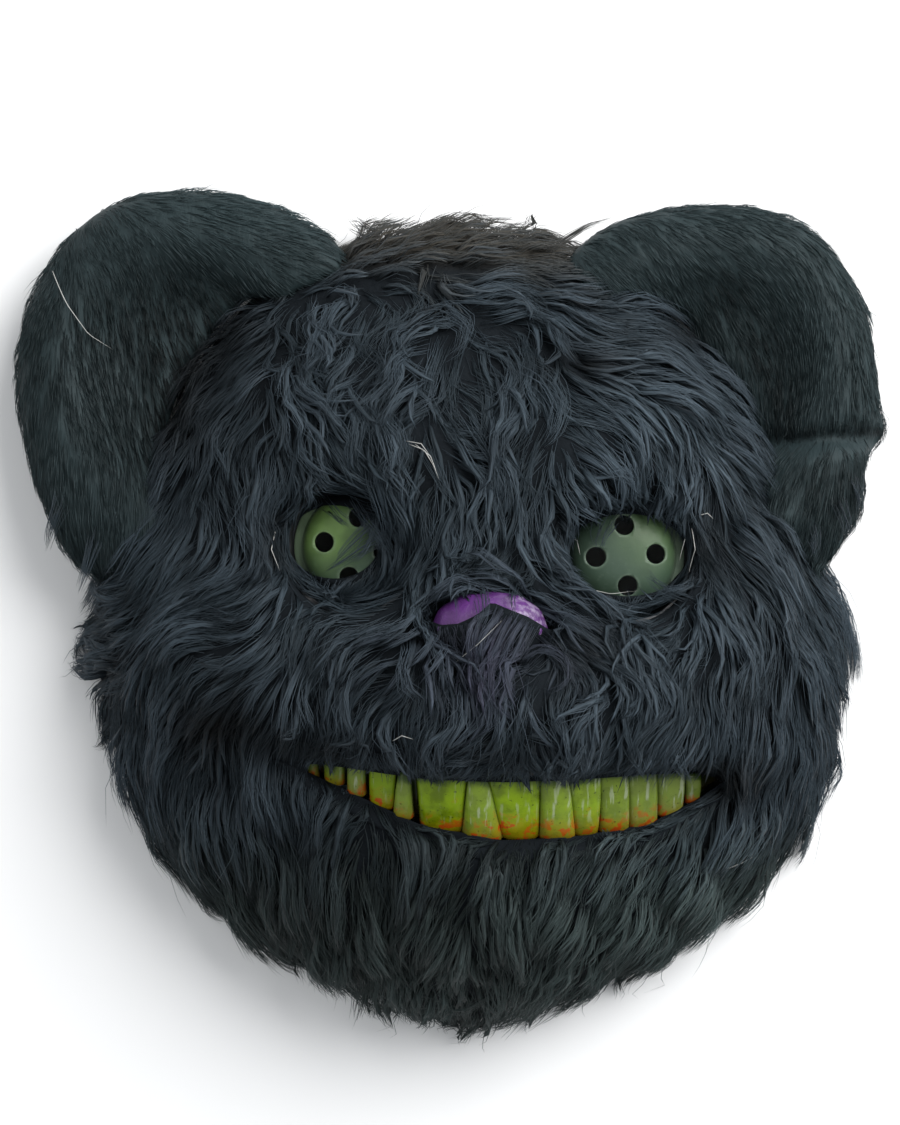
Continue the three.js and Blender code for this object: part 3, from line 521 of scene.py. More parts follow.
def length_of(name, description, default):
    return FloatProperty(
        name=name, description=description, default=default, min=0, subtype="DISTANCE", unit="LENGTH"
    )


def colour_of(name, description, default):
    return FloatVectorProperty(
        name=name, description=description, default=default, min=0, max=1, subtype="COLOR", size=3
    )


def power_of(name, description, default):
    return FloatProperty(
        name=name, description=description, default=default, min=0, subtype="POWER", unit="POWER"
    )


def count_of(name, description, default):
    return IntProperty(name=name, description=description, default=default, min=1)


# Settings


class PileSettings(bpy.types.PropertyGroup):
    """Sizes and colours of the long pile on the face."""

    length: length_of("Longest strand", "Length of the longest strands of the face", 0.033)
    width: length_of("Strand width", "Width of a strand at its middle", 0.00032)
    strands: count_of("Strands", "Strands on the whole face", 21_000)
    edge_strands: count_of(
        "Edge strands", "Strands more, close to the eyes, the nose and the lips", 3200
    )
    locks: count_of("Locks", "Flat locks that the strands gather to", 4100)
    lock_width: length_of("Lock width", "Width of a flat lock at its middle", 0.0025)
    loft: length_of("Loft", "Most that a lock's tip stands above the backing", 0.007)
    voxel: length_of("Backing detail", "Voxel size of the backing's form", 0.004)
    colour: colour_of("Pile", "Colour of the pile", (0.023, 0.034, 0.042))
    # The light strands are painted light on the crests, and some are lighter at random.
    light_colour: colour_of(
        "Light strands", "Colour of the lightest strands", (0.056, 0.077, 0.096)
    )
    crown_colour: colour_of("Crown", "Faded colour along the crown", (0.06, 0.054, 0.043))
    # The backing's dark colour is its own and also painted shade of the pile between the locks.
    backing_colour: colour_of(
        "Backing", "Colour of the knitted backing under the pile", (0.008, 0.011, 0.014)
    )


class EarSettings(bpy.types.PropertyGroup):
    """Sizes and colours of the padded ears."""

    voxel: length_of("Detail", "Voxel size of the ear before it is swollen", 0.0045)
    pressure: FloatProperty(
        name="Stuffing pressure",
        description="Pressure of the cloth simulation",
        default=4,
    )
    swell: length_of("Most swelling", "Most that a point of the ear moves while it swells", 0.002)
    length: length_of("Pile length", "Length of the ear's pile", 0.014)
    width: length_of("Strand width", "Width of a strand at its middle", 0.00034)
    strands: count_of("Strands", "Strands on each ear", 7600)
    colour: colour_of("Pile", "Colour of the ear's pile", (0.023, 0.037, 0.04))
    # The light strands are painted light on the crests, and some are lighter at random.
    light_colour: colour_of(
        "Light strands", "Colour of the ear's lightest strands", (0.034, 0.051, 0.055)
    )


class PlasticSettings(bpy.types.PropertyGroup):
    """Sizes and colours of the eyes, nose, teeth and strap."""

    dome_radius: length_of("Dome radius", "Radius of an eye dome without its flange", 0.018)
    dome_height: length_of("Dome height", "Height of an eye dome", 0.0098)
    dome_wall: length_of("Dome wall", "Wall of an eye dome", 0.0012)
    hole_radius: length_of("Sight hole radius", "Radius of a sight hole", 0.0033)
    hole_circle: length_of(
        "Sight hole circle", "Radius of the circle that the sight holes lie on", 0.010
    )
    tooth_rise: length_of("Tooth rise", "How far the boldest tooth comes forward", 0.0045)
    eye_colour: colour_of(
        "Eye, grey part", "Colour of the cloudy part of an eye", (0.038, 0.064, 0.044)
    )
    # The bright part is painted light on the lit side of a dome.
    eye_bright: colour_of(
        "Eye, bright part", "Colour of the bright part of an eye", (0.105, 0.18, 0.05)
    )
    nose_colour: colour_of("Nose", "Colour of the nose", (0.062, 0.016, 0.1))
    tooth_colour: colour_of("Teeth", "Colour of the teeth", (0.23, 0.36, 0.001))
    gum_colour: colour_of("Gum side", "Colour of the teeth at the gum", (0.02, 0.05, 0.01))
    pale_colour: colour_of("Pale teeth", "Colour of the palest teeth", (0.2, 0.27, 0.055))
    splash_colour: colour_of("Splashes", "Colour of the splashes on the teeth", (0.45, 0.07, 0.005))


class StageSettings(bpy.types.PropertyGroup):
    """Floor and light."""

    floor_colour: colour_of("Floor", "Colour of the floor", (0.9, 0.9, 0.9))
    key_power: power_of("Key light", "Power of the large light above the crown", 34)
    fill_power: power_of("Fill light", "Power of the light from the other side", 3)
    sky_strength: FloatProperty(
        name="Sky",
        description="Strength of the even light from all round",
        default=0.5,
    )


# Shader maths


class Signal:
    """A socket that takes part in Python sums."""

    def __init__(self, shader, socket):
        self.shader = shader
        self.socket = socket

    def math(self, operation, *others):
        inputs = dict(enumerate((self, *others)))
        return self.shader.node("ShaderNodeMath", {"operation": operation}, inputs)

    def __add__(self, other):
        return self.math("ADD", other)

    __radd__ = __add__

    def __mul__(self, other):
        return self.math("MULTIPLY", other)

    __rmul__ = __mul__

    def __sub__(self, other):
        return self.math("SUBTRACT", other)

    def __rsub__(self, other):
        return self.shader.node("ShaderNodeMath", {"operation": "SUBTRACT"}, {0: other, 1: self})

    def least(self, other):
        return self.math("MINIMUM", other)

    def most(self, other):
        return self.math("MAXIMUM", other)

    def between(self, low, high):
        """0 below low, 1 above high and smooth between them; low may be the larger."""
        settings = {"interpolation_type": "SMOOTHSTEP", "clamp": True}
        inputs = {"Value": self, "From Min": low, "From Max": high}
        return self.shader.node("ShaderNodeMapRange", settings, inputs)


class Shader:
    """A material's node tree. Its node method makes every node."""

    def __init__(self, name):
        self.material = bpy.data.materials.new(name)
        self.material.use_nodes = True
        self.tree = self.material.node_tree
        self.tree.nodes.clear()

    def node(self, kind, settings=None, inputs=None, output=0):
        made = self.tree.nodes.new(kind)
        for name, value in (settings or {}).items():
            setattr(made, name, value)
        for name, value in (inputs or {}).items():
            self.feed(made.inputs[name], value)
        return Signal(self, made.outputs[output]) if made.outputs else made

    def feed(self, socket, value):
        if isinstance(value, Signal):
            self.tree.links.new(value.socket, socket)
        elif hasattr(value, "__len__") and len(value) == 3 and socket.type == "RGBA":
            socket.default_value = (*value, 1)
        else:
            socket.default_value = value

    def place(self):
        return self.node("ShaderNodeTexCoord", output="Object")

    def attribute(self, name, output="Fac"):
        return self.node("ShaderNodeAttribute", {"attribute_name": name}, output=output)

    def noise(self, scale, detail=3, vector=None):
        inputs = {"Scale": scale, "Detail": detail, "Vector": vector or self.place()}
        return self.node("ShaderNodeTexNoise", None, inputs)

    def stretched(self, vector, stretch):
        return self.node("ShaderNodeMapping", None, {"Vector": vector, "Scale": stretch})

    def mix(self, share, first, second, blend="MIX"):
        settings = {"data_type": "RGBA", "blend_type": blend, "clamp_factor": True}
        return self.node("ShaderNodeMix", settings, {0: share, 6: first, 7: second}, 2)

    def coordinate(self, axis):
        """Object coordinate along an axis: 0, 1 or 2."""
        return self.node("ShaderNodeSeparateXYZ", None, {0: self.place()}, axis)

    def distance(self, point):
        """Distance in plan from a point."""
        flat = self.node("ShaderNodeVectorMath", {"operation": "MULTIPLY"}, {0: self.place(), 1: (1, 1, 0)})
        ends = {0: flat, 1: (point[0], point[1], 0)}
        return self.node("ShaderNodeVectorMath", {"operation": "DISTANCE"}, ends, "Value")

    def toned(self, colour, tone):
        """A colour made darker or lighter by a tone."""
        grey = self.node("ShaderNodeCombineColor", None, {0: tone, 1: tone, 2: tone})
        return self.mix(1.0, colour, grey, "MULTIPLY")

    def bump(self, height, distance, strength):
        inputs = {"Height": height, "Distance": distance, "Strength": strength}
        return self.node("ShaderNodeBump", None, inputs)

    def finish(self, **inputs):
        """The surface: keyword names are the sockets of a Principled shader."""
        named = {name.replace("_", " "): value for name, value in inputs.items()}
        surface = self.node("ShaderNodeBsdfPrincipled", None, named)
        self.node("ShaderNodeOutputMaterial", None, {"Surface": surface})
        return self.material


# Pieces


def discard(name):
    """Takes away a piece that an earlier run of its operator made."""
    old = bpy.data.objects.get(name)
    if old is not None:
        bpy.data.objects.remove(old)


def new_object(name, data):
    made = bpy.data.objects.new(name, data)
    bpy.context.scene.collection.objects.link(made)
    return made


def add_piece(name, mesh, material, stands_for=()):
    discard(name)
    piece = new_object(name, mesh)
    piece.data.materials.clear()
    piece.data.materials.append(material)
    piece.data.shade_smooth()
    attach(piece, "root")
    if stands_for:
        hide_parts(*stands_for)
    return piece


def apply_modifiers(piece):
    graph = bpy.context.evaluated_depsgraph_get()
    mesh = bpy.data.meshes.new_from_object(piece.evaluated_get(graph))
    piece.modifiers.clear()
    piece.data = mesh


def thicken(piece, thickness, offset):
    """Gives a thin sheet its wall, below it at offset -1 and above it at 1."""
    wall = piece.modifiers.new("Wall", "SOLIDIFY")
    wall.thickness = thickness
    wall.offset = offset
    apply_modifiers(piece)


def mesh_from_bmesh(bm, name):
    mesh = bpy.data.meshes.new(name)
    bm.to_mesh(mesh)
    bm.free()
    return mesh


def rounded_copy(node, name, voxel, passes):
    """A closed copy of a CAD node, remeshed evenly and smoothed."""
    bm = bmesh.new()
    bm.from_mesh(NODES[node].data)
    bmesh.ops.remove_doubles(bm, verts=bm.verts, dist=1e-6)
    rough = new_object(name + "_rough", mesh_from_bmesh(bm, name))
    remesh = rough.modifiers.new("Even", "REMESH")
    remesh.mode = "VOXEL"
    remesh.voxel_size = voxel
    remesh.use_smooth_shade = True
    apply_modifiers(rough)
    bm = bmesh.new()
    bm.from_mesh(rough.data)
    for _ in range(passes):
        bmesh.ops.smooth_vert(
            bm, verts=bm.verts, factor=0.5, use_axis_x=True, use_axis_y=True, use_axis_z=True
        )
    bpy.data.objects.remove(rough)
    return mesh_from_bmesh(bm, name)


def points_of(mesh):
    points = np.empty(len(mesh.vertices) * 3)
    mesh.vertices.foreach_get("co", points)
    return points.reshape(-1, 3)


def move_points(mesh, points):
    mesh.vertices.foreach_set("co", points.reshape(-1))
    mesh.update()


def triangles_of(mesh):
    mesh.calc_loop_triangles()
    corners = np.empty(len(mesh.loop_triangles) * 3, dtype=int)
    mesh.loop_triangles.foreach_get("vertices", corners)
    return corners.reshape(-1, 3)


def search_tree(meshes, lowest=-2):
    """One search tree over several meshes, of the faces whose normals point up more than lowest."""
    points, corners, start = [], [], 0
    for mesh in meshes:
        points.append(points_of(mesh))
        corners.append(triangles_of(mesh) + start)
        start += len(points[-1])
    points, corners = np.concatenate(points), np.concatenate(corners)
    a, b, c = (points[corners[:, k]] for k in range(3))
    corners = corners[unit(np.cross(b - a, c - a))[:, 2] > lowest]
    return BVHTree.FromPolygons(points.tolist(), corners.tolist())


def middle_of(node):
    """Middle of a CAD node's box."""
    return np.mean(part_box(node), axis=0)


def height_at(tree, x, y):
    """Height of the highest surface over a place, or 0 where there is none."""
    hit = tree.ray_cast((x, y, OVERHEAD), (0, 0, -1))[0]
    return hit.z if hit else 0


def nearest_on(tree, points):
    found = [tree.find_nearest(point) for point in points.tolist()]
    places = np.array([tuple(hit[0]) for hit in found])
    normals = np.array([tuple(hit[1]) for hit in found])
    return places, normals


class Relief:
    """Heights of surfaces seen from above, on a grid that is read between its points."""

    def __init__(self, tree, step):
        low, high = (np.array(corner)[:2] for corner in CAD_BOX)
        self.step, self.low = step, low - RELIEF_MARGIN
        columns, rows = ((high - low + 2 * RELIEF_MARGIN) / step).astype(int) + 1
        self.heights = np.zeros((columns, rows))
        for i in range(columns):
            for j in range(rows):
                self.heights[i, j] = height_at(tree, *(self.low + np.array([i, j]) * step))

    def raised(self, points):
        """Points that are a little under the surface come up out of it."""
        at = (points[..., :2] - self.low) / self.step
        at = np.clip(at, 0, np.array(self.heights.shape) - 1.001)
        i, j = np.moveaxis(at.astype(int), -1, 0)
        u, v = np.moveaxis(at % 1, -1, 0)
        left = self.heights[i, j] * (1 - v) + self.heights[i, j + 1] * v
        right = self.heights[i + 1, j] * (1 - v) + self.heights[i + 1, j + 1] * v
        sunk = left * (1 - u) + right * u + GROUND_GAP - points[..., 2]
        points = points.copy()
        points[..., 2] += np.where((sunk > 0) & (sunk < MOST_SUNK), sunk, 0)
        return points


def unit(vectors):
    return vectors / np.maximum(np.linalg.norm(vectors, axis=-1, keepdims=True), 1e-12)


def on_face(points):
    """Places on the face in mm from its middle, as the tables give them: x and then y."""
    return np.moveaxis((points[..., :2] - FACE_MIDDLE) / MM, -1, 0)


def mound(x, y, east, north, reach_x, reach_y):
    """A round swelling in plan that is 1 in its middle and dies away within its reach."""
    return np.exp(-(((x - east) / reach_x) ** 2) - ((y - north) / reach_y) ** 2)


def along(a, b):
    """Dot products of two lists of vectors, one a row."""
    return np.sum(a * b, axis=-1, keepdims=True)


def meshes_of(*names):
    return [bpy.data.objects[name].data for name in names]


# Pile


def combing_at(table, points):
    """Direction in plan, length, wave and disorder of the pile at points, blended from a table."""
    rows = np.array(table, float)
    places = FACE_MIDDLE + rows[:, :2] * MM
    gaps = np.sum((points[:, None, :2] - places[None]) ** 2, axis=-1)
    weights = 1 / (gaps + COMB_BLEND**2) ** 2
    weights /= weights.sum(axis=1, keepdims=True)
    angles = np.radians(rows[:, 2])
    ways = unit(weights @ np.column_stack([np.cos(angles), np.sin(angles)]))
    return ways, weights @ rows[:, 3:]


def scatter(meshes, count, rng):
    """Random places on meshes by area, with their normals."""
    corners = np.concatenate([points_of(mesh)[triangles_of(mesh)] for mesh in meshes])
    crossed = np.cross(corners[:, 1] - corners[:, 0], corners[:, 2] - corners[:, 0])
    area = np.linalg.norm(crossed, axis=1)
    chosen = rng.choice(len(area), count, p=area / area.sum())
    first, second = np.sqrt(rng.random((count, 1))), rng.random((count, 1))
    a, b, c = (corners[chosen, k] for k in range(3))
    places = a * (1 - first) + b * first * (1 - second) + c * first * second
    return places, unit(crossed[chosen])


def open_to_the_air(tree, places, normals, middle, reach):
    """Which places face away from the middle and have nothing within reach above them."""
    outwards = normals if middle is None else unit(places - middle)
    facing = along(normals, outwards)[:, 0] > 0.12
    raised = places + normals * 0.3 * MM
    for index in np.nonzero(facing)[0]:
        hit = tree.ray_cast(raised[index].tolist(), normals[index].tolist(), reach)
        facing[index] = hit[0] is None
    return facing


def ripple(points, seed, wave_length):
    """Smooth random field over the plan, mostly between -1 and 1, with waves of about a length."""
    rng = np.random.default_rng(seed)
    total = np.zeros(points.shape[:-1])
    for _ in range(8):
        heading, phase = rng.uniform(0, 2 * math.pi, 2)
        pace = 2 * math.pi / (wave_length * rng.uniform(0.7, 1.6))
        far = points[..., 0] * math.cos(heading) + points[..., 1] * math.sin(heading)
        total += np.sin(pace * far + phase)
    return np.clip(total / 2.2, -1.2, 1.2)


def crest_at(points):
    """How much the pile stands up in crests, from 0 to 1."""
    return np.clip(0.5 + 0.5 * ripple(points, CREST_SEED, CREST_LENGTH), 0, 1)


def grow_guides(tree, relief, table, roots, normals, length, loft, wildness, rng):
    """Guide hairs that follow the combing over the surface: places and normals at each step."""
    count = len(roots)
    point, normal = roots.copy(), normals.copy()
    guides, frames = [point.copy()], [normal.copy()]
    lean = rng.normal(0, 1, (count, 1))
    curl = rng.normal(0, 1, (count, 1))
    phase = rng.uniform(0, 2 * math.pi, (count, 1))
    wave_length = rng.uniform(16, 30, (count, 1)) * MM
    rise = loft * (0.1 + 0.9 * crest_at(roots)[:, None]) * rng.uniform(0.5, 1.1, (count, 1))
    reach = length * combing_at(table, roots)[1][:, :1] * rng.uniform(0.75, 1.15, (count, 1))
    for step in range(1, GUIDE_STEPS + 1):
        share = step / GUIDE_STEPS
        way, traits = combing_at(table, point)
        wave, disorder = traits[:, 1:2], traits[:, 2:3]
        swirl = ripple(point, SWIRL_SEED, SWIRL_LENGTH)[:, None]
        own = np.sin(phase + 2 * math.pi * share * reach / wave_length)
        turn = disorder * (0.35 * lean + 0.7 * curl * share)
        turn = wildness * (turn + wave * (0.8 * swirl + 0.4 * own))
        turned = np.column_stack([
            way[:, :1] * np.cos(turn) - way[:, 1:] * np.sin(turn),
            way[:, :1] * np.sin(turn) + way[:, 1:] * np.cos(turn),
            np.full(count, -DROOP),
        ])
        turned -= CLING * along(turned, normal) * normal
        point = point + unit(turned) * reach / GUIDE_STEPS
        foot, normal = nearest_on(tree, point)
        height = along(point - foot, normal)
        low = rise * min(1, 2.5 * share)
        wanted = np.clip(height, low, low + TIP_ROOM * share**2)
        usable = normal[:, 2:] > LEAST_RISE
        point = np.where(usable, point + normal * (wanted - height), point)
        point = relief.raised(point)
        point[:, 2] = np.maximum(point[:, 2], FLOOR_GAP)
        guides.append(point.copy())
        frames.append(normal.copy())
    return np.array(guides), np.array(frames)


def gather_strands(guides, frames, roots, gather, stray, rng):
    """Strands that start at roots and draw in to their nearest guide hair."""
    search = KDTree(len(guides[0]))
    for index, place in enumerate(guides[0]):
        search.insert(place, index)
    search.balance()
    owners = np.array([search.find(root)[1] for root in roots.tolist()])
    share = np.linspace(0, 1, len(guides))[:, None, None]
    offset = roots - guides[0, owners]
    count = len(roots)
    drawn = gather * rng.uniform(0.6, 1.1, (1, count, 1)) * share**0.8
    paths = guides[:, owners] + offset * (1 - drawn)
    ways = unit(np.gradient(paths, axis=0))
    normals = frames[:, owners]
    sides = unit(np.cross(ways, normals))
    wander = stray * rng.normal(0, 1, (2, 1, count, 1))
    wild = rng.random((1, count, 1)) < 0.04
    wander *= np.where(wild, 3.5, 1)
    swing = np.sin(rng.uniform(0, 6.3, (1, count, 1)) + share * rng.uniform(4, 12, (1, count, 1)))
    paths += sides * (wander[0] * share + stray * 0.7 * swing * share**0.5)
    paths += normals * np.abs(wander[1]) * share * 0.8
    paths[..., 2] = np.maximum(paths[..., 2], FLOOR_GAP)
    return paths, normals


def cut_back(paths, bare, rng):
    """Share of each strand that is kept, so that its tip ends near the edge of the bare parts."""
    inside = bare(paths)
    first = np.argmax(inside, axis=0) / (len(paths) - 1)
    kept = np.where(inside.any(axis=0), first, 1.0)
    loose = rng.random(kept.shape) < 0.2
    return np.clip(kept + rng.uniform(-0.06, 0.05, kept.shape) + 0.13 * loose, 0, 1)


def strand_corners(rings, sides):
    """Corners of the quads and of the end triangles of one closed strand."""
    quads, ends = [], []
    for ring in range(rings - 1):
        for corner in range(sides):
            after = (corner + 1) % sides
            base = ring * sides
            quads.append((base + corner, base + after, base + sides + after, base + sides + corner))
    base = (rings - 1) * sides
    for corner in range(sides):
        ends.append((base + corner, base + (corner + 1) % sides, rings * sides))
    for corner in range(1, sides - 1):
        ends.append((corner + 1, corner, 0))
    return np.array(quads), np.array(ends)


def strand_mesh(name, paths, normals, kept, width, shape, colours):
    """Closed tapered strands, with their colour, their share of length and their own grain."""
    rings, sides, flatness = shape
    steps, count = paths.shape[:2]
    rows = np.arange(rings + 1)[:, None] / rings * kept[None] * (steps - 1)
    low = np.clip(rows.astype(int), 0, steps - 2)
    part = (rows - low)[..., None]
    which = np.arange(count)[None]
    middles = paths[low, which] * (1 - part) + paths[low + 1, which] * part
    ups = unit(normals[low, which] * (1 - part) + normals[low + 1, which] * part)
    ways = unit(np.gradient(middles, axis=0))
    across = unit(np.cross(ways, ups))
    ups = np.cross(across, ways)
    share = np.linspace(0, 1, rings + 1)
    girth = width / 2 * (1 - share**2.2) * (0.7 + 0.55 * share)
    corners, grains = [], []
    for corner in range(sides):
        angle = math.radians(90 + 360 * corner / sides)
        spoke = across * math.cos(angle) + ups * (flatness * math.sin(angle))
        corners.append(middles + spoke * girth[:, None, None])
        grains.append(np.outer(girth, np.full(count, math.cos(angle))))
    hoops = np.stack(corners, axis=2)[:-1].transpose(1, 0, 2, 3).reshape(count, -1, 3)
    points = np.concatenate([hoops, middles[-1][:, None]], axis=1)
    points[..., 2] = np.maximum(points[..., 2], FLOOR_GAP / 2)
    each = points.shape[1]
    quads, ends = strand_corners(rings, sides)
    if count * (2 * len(quads) + len(ends)) > PIECE_LIMIT:
        raise RuntimeError(f"{name} has too many strands: {count}")
    starts = (np.arange(count) * each)[:, None, None]
    quads = (quads[None] + starts).reshape(-1)
    ends = (ends[None] + starts).reshape(-1)
    mesh = bpy.data.meshes.new(name)
    mesh.vertices.add(count * each)
    mesh.vertices.foreach_set("co", points.reshape(-1))
    mesh.loops.add(len(quads) + len(ends))
    mesh.loops.foreach_set("vertex_index", np.concatenate([quads, ends]))
    sizes = np.concatenate([np.full(len(quads) // 4, 4), np.full(len(ends) // 3, 3)])
    mesh.polygons.add(len(sizes))
    mesh.polygons.foreach_set("loop_start", np.concatenate([[0], np.cumsum(sizes)[:-1]]))
    mesh.update(calc_edges=True)
    hoop_share = np.append(np.repeat(share[:-1], sides), 1)
    values = np.ones((count, each, 4))
    # The colour takes in the painted light and shade of the place of each point.
    values[..., :3] = colours[:, None] * shade_at(points)[..., None]
    values[..., 3] = hoop_share[None]
    layer = mesh.attributes.new("strand", "FLOAT_COLOR", "POINT")
    layer.data.foreach_set("color", values.reshape(-1))
    length = np.linalg.norm(np.diff(middles, axis=0), axis=-1).sum(0)
    grain = np.zeros((count, each, 3))
    grain[:, :-1, 0] = np.stack(grains, axis=2)[:-1].transpose(1, 0, 2).reshape(count, -1)
    grain[..., 1] = hoop_share[None] * length[:, None]
    grain[..., 2] = (np.arange(count) * 0.618 % 1)[:, None]
    layer = mesh.attributes.new("grain", "FLOAT_VECTOR", "POINT")
    layer.data.foreach_set("vector", grain.reshape(-1))
    return mesh


def lock_material(name):
    """Flat locks of hair: fine streaks along each lock, with painted shade at the root."""
    shader = Shader(name)
    colour = shader.attribute("strand", "Color")
    share = shader.attribute("strand", "Alpha")
    grain = shader.stretched(shader.attribute("grain", "Vector"), (2600, 70, 40))
    streaks = shader.noise(1, 3, grain)
    # Painted shade towards the root.
    depth = share.between(0.0, 0.4) * 0.3 + 0.7
    tone = depth * (streaks.between(0.3, 0.72) * 0.7 + 0.6)
    return shader.finish(
        Base_Color=shader.toned(colour, tone),
        Roughness=streaks * 0.2 + 0.5,
        Specular_IOR_Level=0.15,
        Normal=shader.bump(streaks, 0.5 * MM, 0.9),
    )


def pile_material(name, root_tone):
    """Pile: the strand's colour with its painted light and shade, painted shade at the root, and a soft
    gloss.
    """
    shader = Shader(name)
    colour = shader.attribute("strand", "Color")
    share = shader.attribute("strand", "Alpha")
    # Painted shade towards the root.
    depth = share.between(0.0, 0.4) * (1 - root_tone) + root_tone
    flecks = shader.noise(400, 2) * 0.4 + 0.8
    return shader.finish(
        Base_Color=shader.toned(colour, depth * flecks),
        Roughness=shader.noise(300, 2) * 0.2 + 0.42,
        Specular_IOR_Level=0.2,
    )


def backing_material(name, colour):
    """Knitted backing: matt and dark, its dark colour also painted shade of the deep pile between
    the locks, with the roots of the pile as a fine nap.
    """
    shader = Shader(name)
    nap = shader.noise(700, 4)
    patch = shader.noise(60, 2)
    darker = tuple(0.5 * part for part in colour)
    faded = shader.coordinate(1).between(*CROWN_FADE)
    return shader.finish(
        Base_Color=shader.mix(faded, shader.mix(patch, darker, colour), CROWN_BACKING),
        Roughness=nap * 0.15 + 0.8,
        Specular_IOR_Level=0.1,
        Normal=shader.bump(nap, 0.6 * MM, 0.8),
    )


def shades_of(roots, rng, dark, light):
    """A colour for each strand: painted light on the crests, and lighter at random."""
    share = 0.6 * crest_at(roots)[:, None] ** 1.5 + 0.4 * rng.random((len(roots), 1)) ** 2.5
    return np.array(dark)[None] * (1 - share) + np.array(light)[None] * share


def shade_at(points):
    """Share of the colour that is left at points: painted shade in deep places, painted light in lit ones.
    """
    x, y = on_face(points)
    left = np.ones(x.shape)
    for *mark, depth in PAINTED_LIGHT_AND_SHADE:
        left *= 1 - depth * mound(x, y, *mark)
    return left


def bare_gap(points):
    """Distance from the eyes, the teeth and the bare part of the nose, negative inside them."""
    gaps = []
    for node, (east, north, half_width, half_height) in EYE_WINDOWS.items():
        middle = middle_of(node)
        across = (points[..., 0] - middle[0] - east * MM) / (half_width * MM)
        up = (points[..., 1] - middle[1] - north * MM) / (half_height * MM)
        gaps.append((np.hypot(across, up) - 1) * half_height)
    x, y = on_face(points)
    for line, fringe in ((np.array(LIPS), LIP_FRINGE), (nose_band(), 0)):
        top = np.interp(x, line[:, 0], line[:, 1]) + fringe
        bottom = np.interp(x, line[:, 0], line[:, 2]) + fringe
        ends = np.maximum(line[0, 0] - x, x - line[-1, 0])
        gaps.append(np.maximum(np.maximum(y - top, bottom - y), ends))
    return np.min(gaps, axis=0) * MM


def nose_band():
    """Upper and lower edge of the bare part of the nose, in mm."""
    arc = np.array(NOSE_ARC)
    return np.column_stack([arc[:, 0], arc[:, 1] + arc[:, 2], arc[:, 1] - arc[:, 2]])


def face_is_bare(points):
    return bare_gap(points) < 0


def face_colours(roots, settings, rng):
    colours = shades_of(roots, rng, settings.colour, settings.light_colour)
    x, y = (places[:, None] for places in on_face(roots))
    low, blend, middle, half_width, side_blend = CROWN_STRIP
    faded = np.clip((y - low) / blend, 0, 1)
    faded = faded * np.clip((half_width - np.abs(x - middle)) / side_blend, 0, 1)
    faded = faded * rng.uniform(0.4, 1, faded.shape)
    colours = colours * (1 - faded) + np.array(settings.crown_colour)[None] * faded
    jaw = np.clip((JAW_TOP - y) / JAW_BLEND, 0, 1)
    colours = colours * (1 - jaw * (1 - np.array(JAW_TINT)[None]))
    *mark, share = NOSE_MARK
    tinted = share * mound(x, y, *mark)
    return colours * (1 - tinted) + np.array(NOSE_TINT)[None] * colours.mean(1, keepdims=True) * tinted


def face_parts(roots):
    """Name of the part of the face that each root belongs to."""
    x, y = on_face(roots)
    names = np.full(len(roots), "cheek_pile", dtype=object)
    for name, left, right, bottom, top in PILE_PARTS:
        names[(x > left) & (x < right) & (y > bottom) & (y < top)] = name
    return names


class BEARMASK_OT_face_pile(bpy.types.Operator):
    """Long wavy pile over the whole face, in pieces by its parts"""

    bl_idname = "bearmask.face_pile"
    bl_label = "Long pile"

    def execute(self, context):
        settings = context.scene.bearmask_pile
        rng = np.random.default_rng(FACE_SEED)
        backing, hems, nose = meshes_of("fur_backing", "fur_hems", "nose_cap")
        ears = meshes_of("left_ear", "right_ear")
        ground = search_tree([hems, *meshes_of(*UNDER_THE_PILE)], LEAST_RISE)
        around = search_tree([backing, nose, hems, *ears, NODES["face_shell"].data])
        middle = np.array([*FACE_MIDDLE, -0.02])
        roots, normals = self.places([backing, hems], around, middle, settings.strands, 1, rng)
        more = self.places([backing, hems], around, middle, settings.edge_strands, EDGE_REACH, rng)
        roots, normals = np.concatenate([roots, more[0]]), np.concatenate([normals, more[1]])
        chosen = rng.choice(len(roots), settings.locks, replace=False)
        relief = Relief(ground, FACE_RELIEF)
        reach, loft = settings.length, settings.loft
        guides, frames = grow_guides(
            ground, relief, COMBING, roots[chosen], normals[chosen], reach, loft, 1, rng
        )
        material = lock_material("pile_locks")
        kept = cut_back(guides, face_is_bare, rng)
        usable = kept > LEAST_LOCK
        # The locks lie under the strands and are painted darker, as painted shade deep in the pile.
        colours = 0.8 * face_colours(guides[0], settings, rng)
        locks = strand_mesh(
            "pile_locks",
            guides[:, usable] - frames[:, usable] * 0.4 * MM,
            frames[:, usable],
            kept[usable],
            settings.lock_width,
            FLAT_LOCK,
            colours[usable],
        )
        add_piece("pile_locks", locks, material)
        paths, ups = gather_strands(guides, frames, roots, *FACE_GATHER, rng)
        paths = relief.raised(paths)
        kept = cut_back(paths, face_is_bare, rng)
        colours = face_colours(roots, settings, rng)
        names = face_parts(roots)
        material = pile_material("long_pile", LONG_ROOT_TONE)
        for name in sorted(set(names)):
            mine = (names == name) & (kept > LEAST_STRAND)
            mesh = strand_mesh(
                name,
                paths[:, mine],
                ups[:, mine],
                kept[mine],
                settings.width,
                LONG_STRAND,
                colours[mine],
            )
            add_piece(name, mesh, material)
        return {"FINISHED"}

    @staticmethod
    def places(sources, around, middle, count, reach, rng):
        """Roots in the open that are within reach of a bare part, but not in it."""
        tries = FACE_TRIES if reach > EDGE_REACH else EDGE_TRIES
        roots, normals = scatter(sources, count * tries, rng)
        gaps = bare_gap(roots)
        near = (gaps > 0) & (gaps < reach)
        roots, normals = roots[near], normals[near]
        free = open_to_the_air(around, roots, normals, middle, FACE_ROOM)
        return roots[free][:count], normals[free][:count]


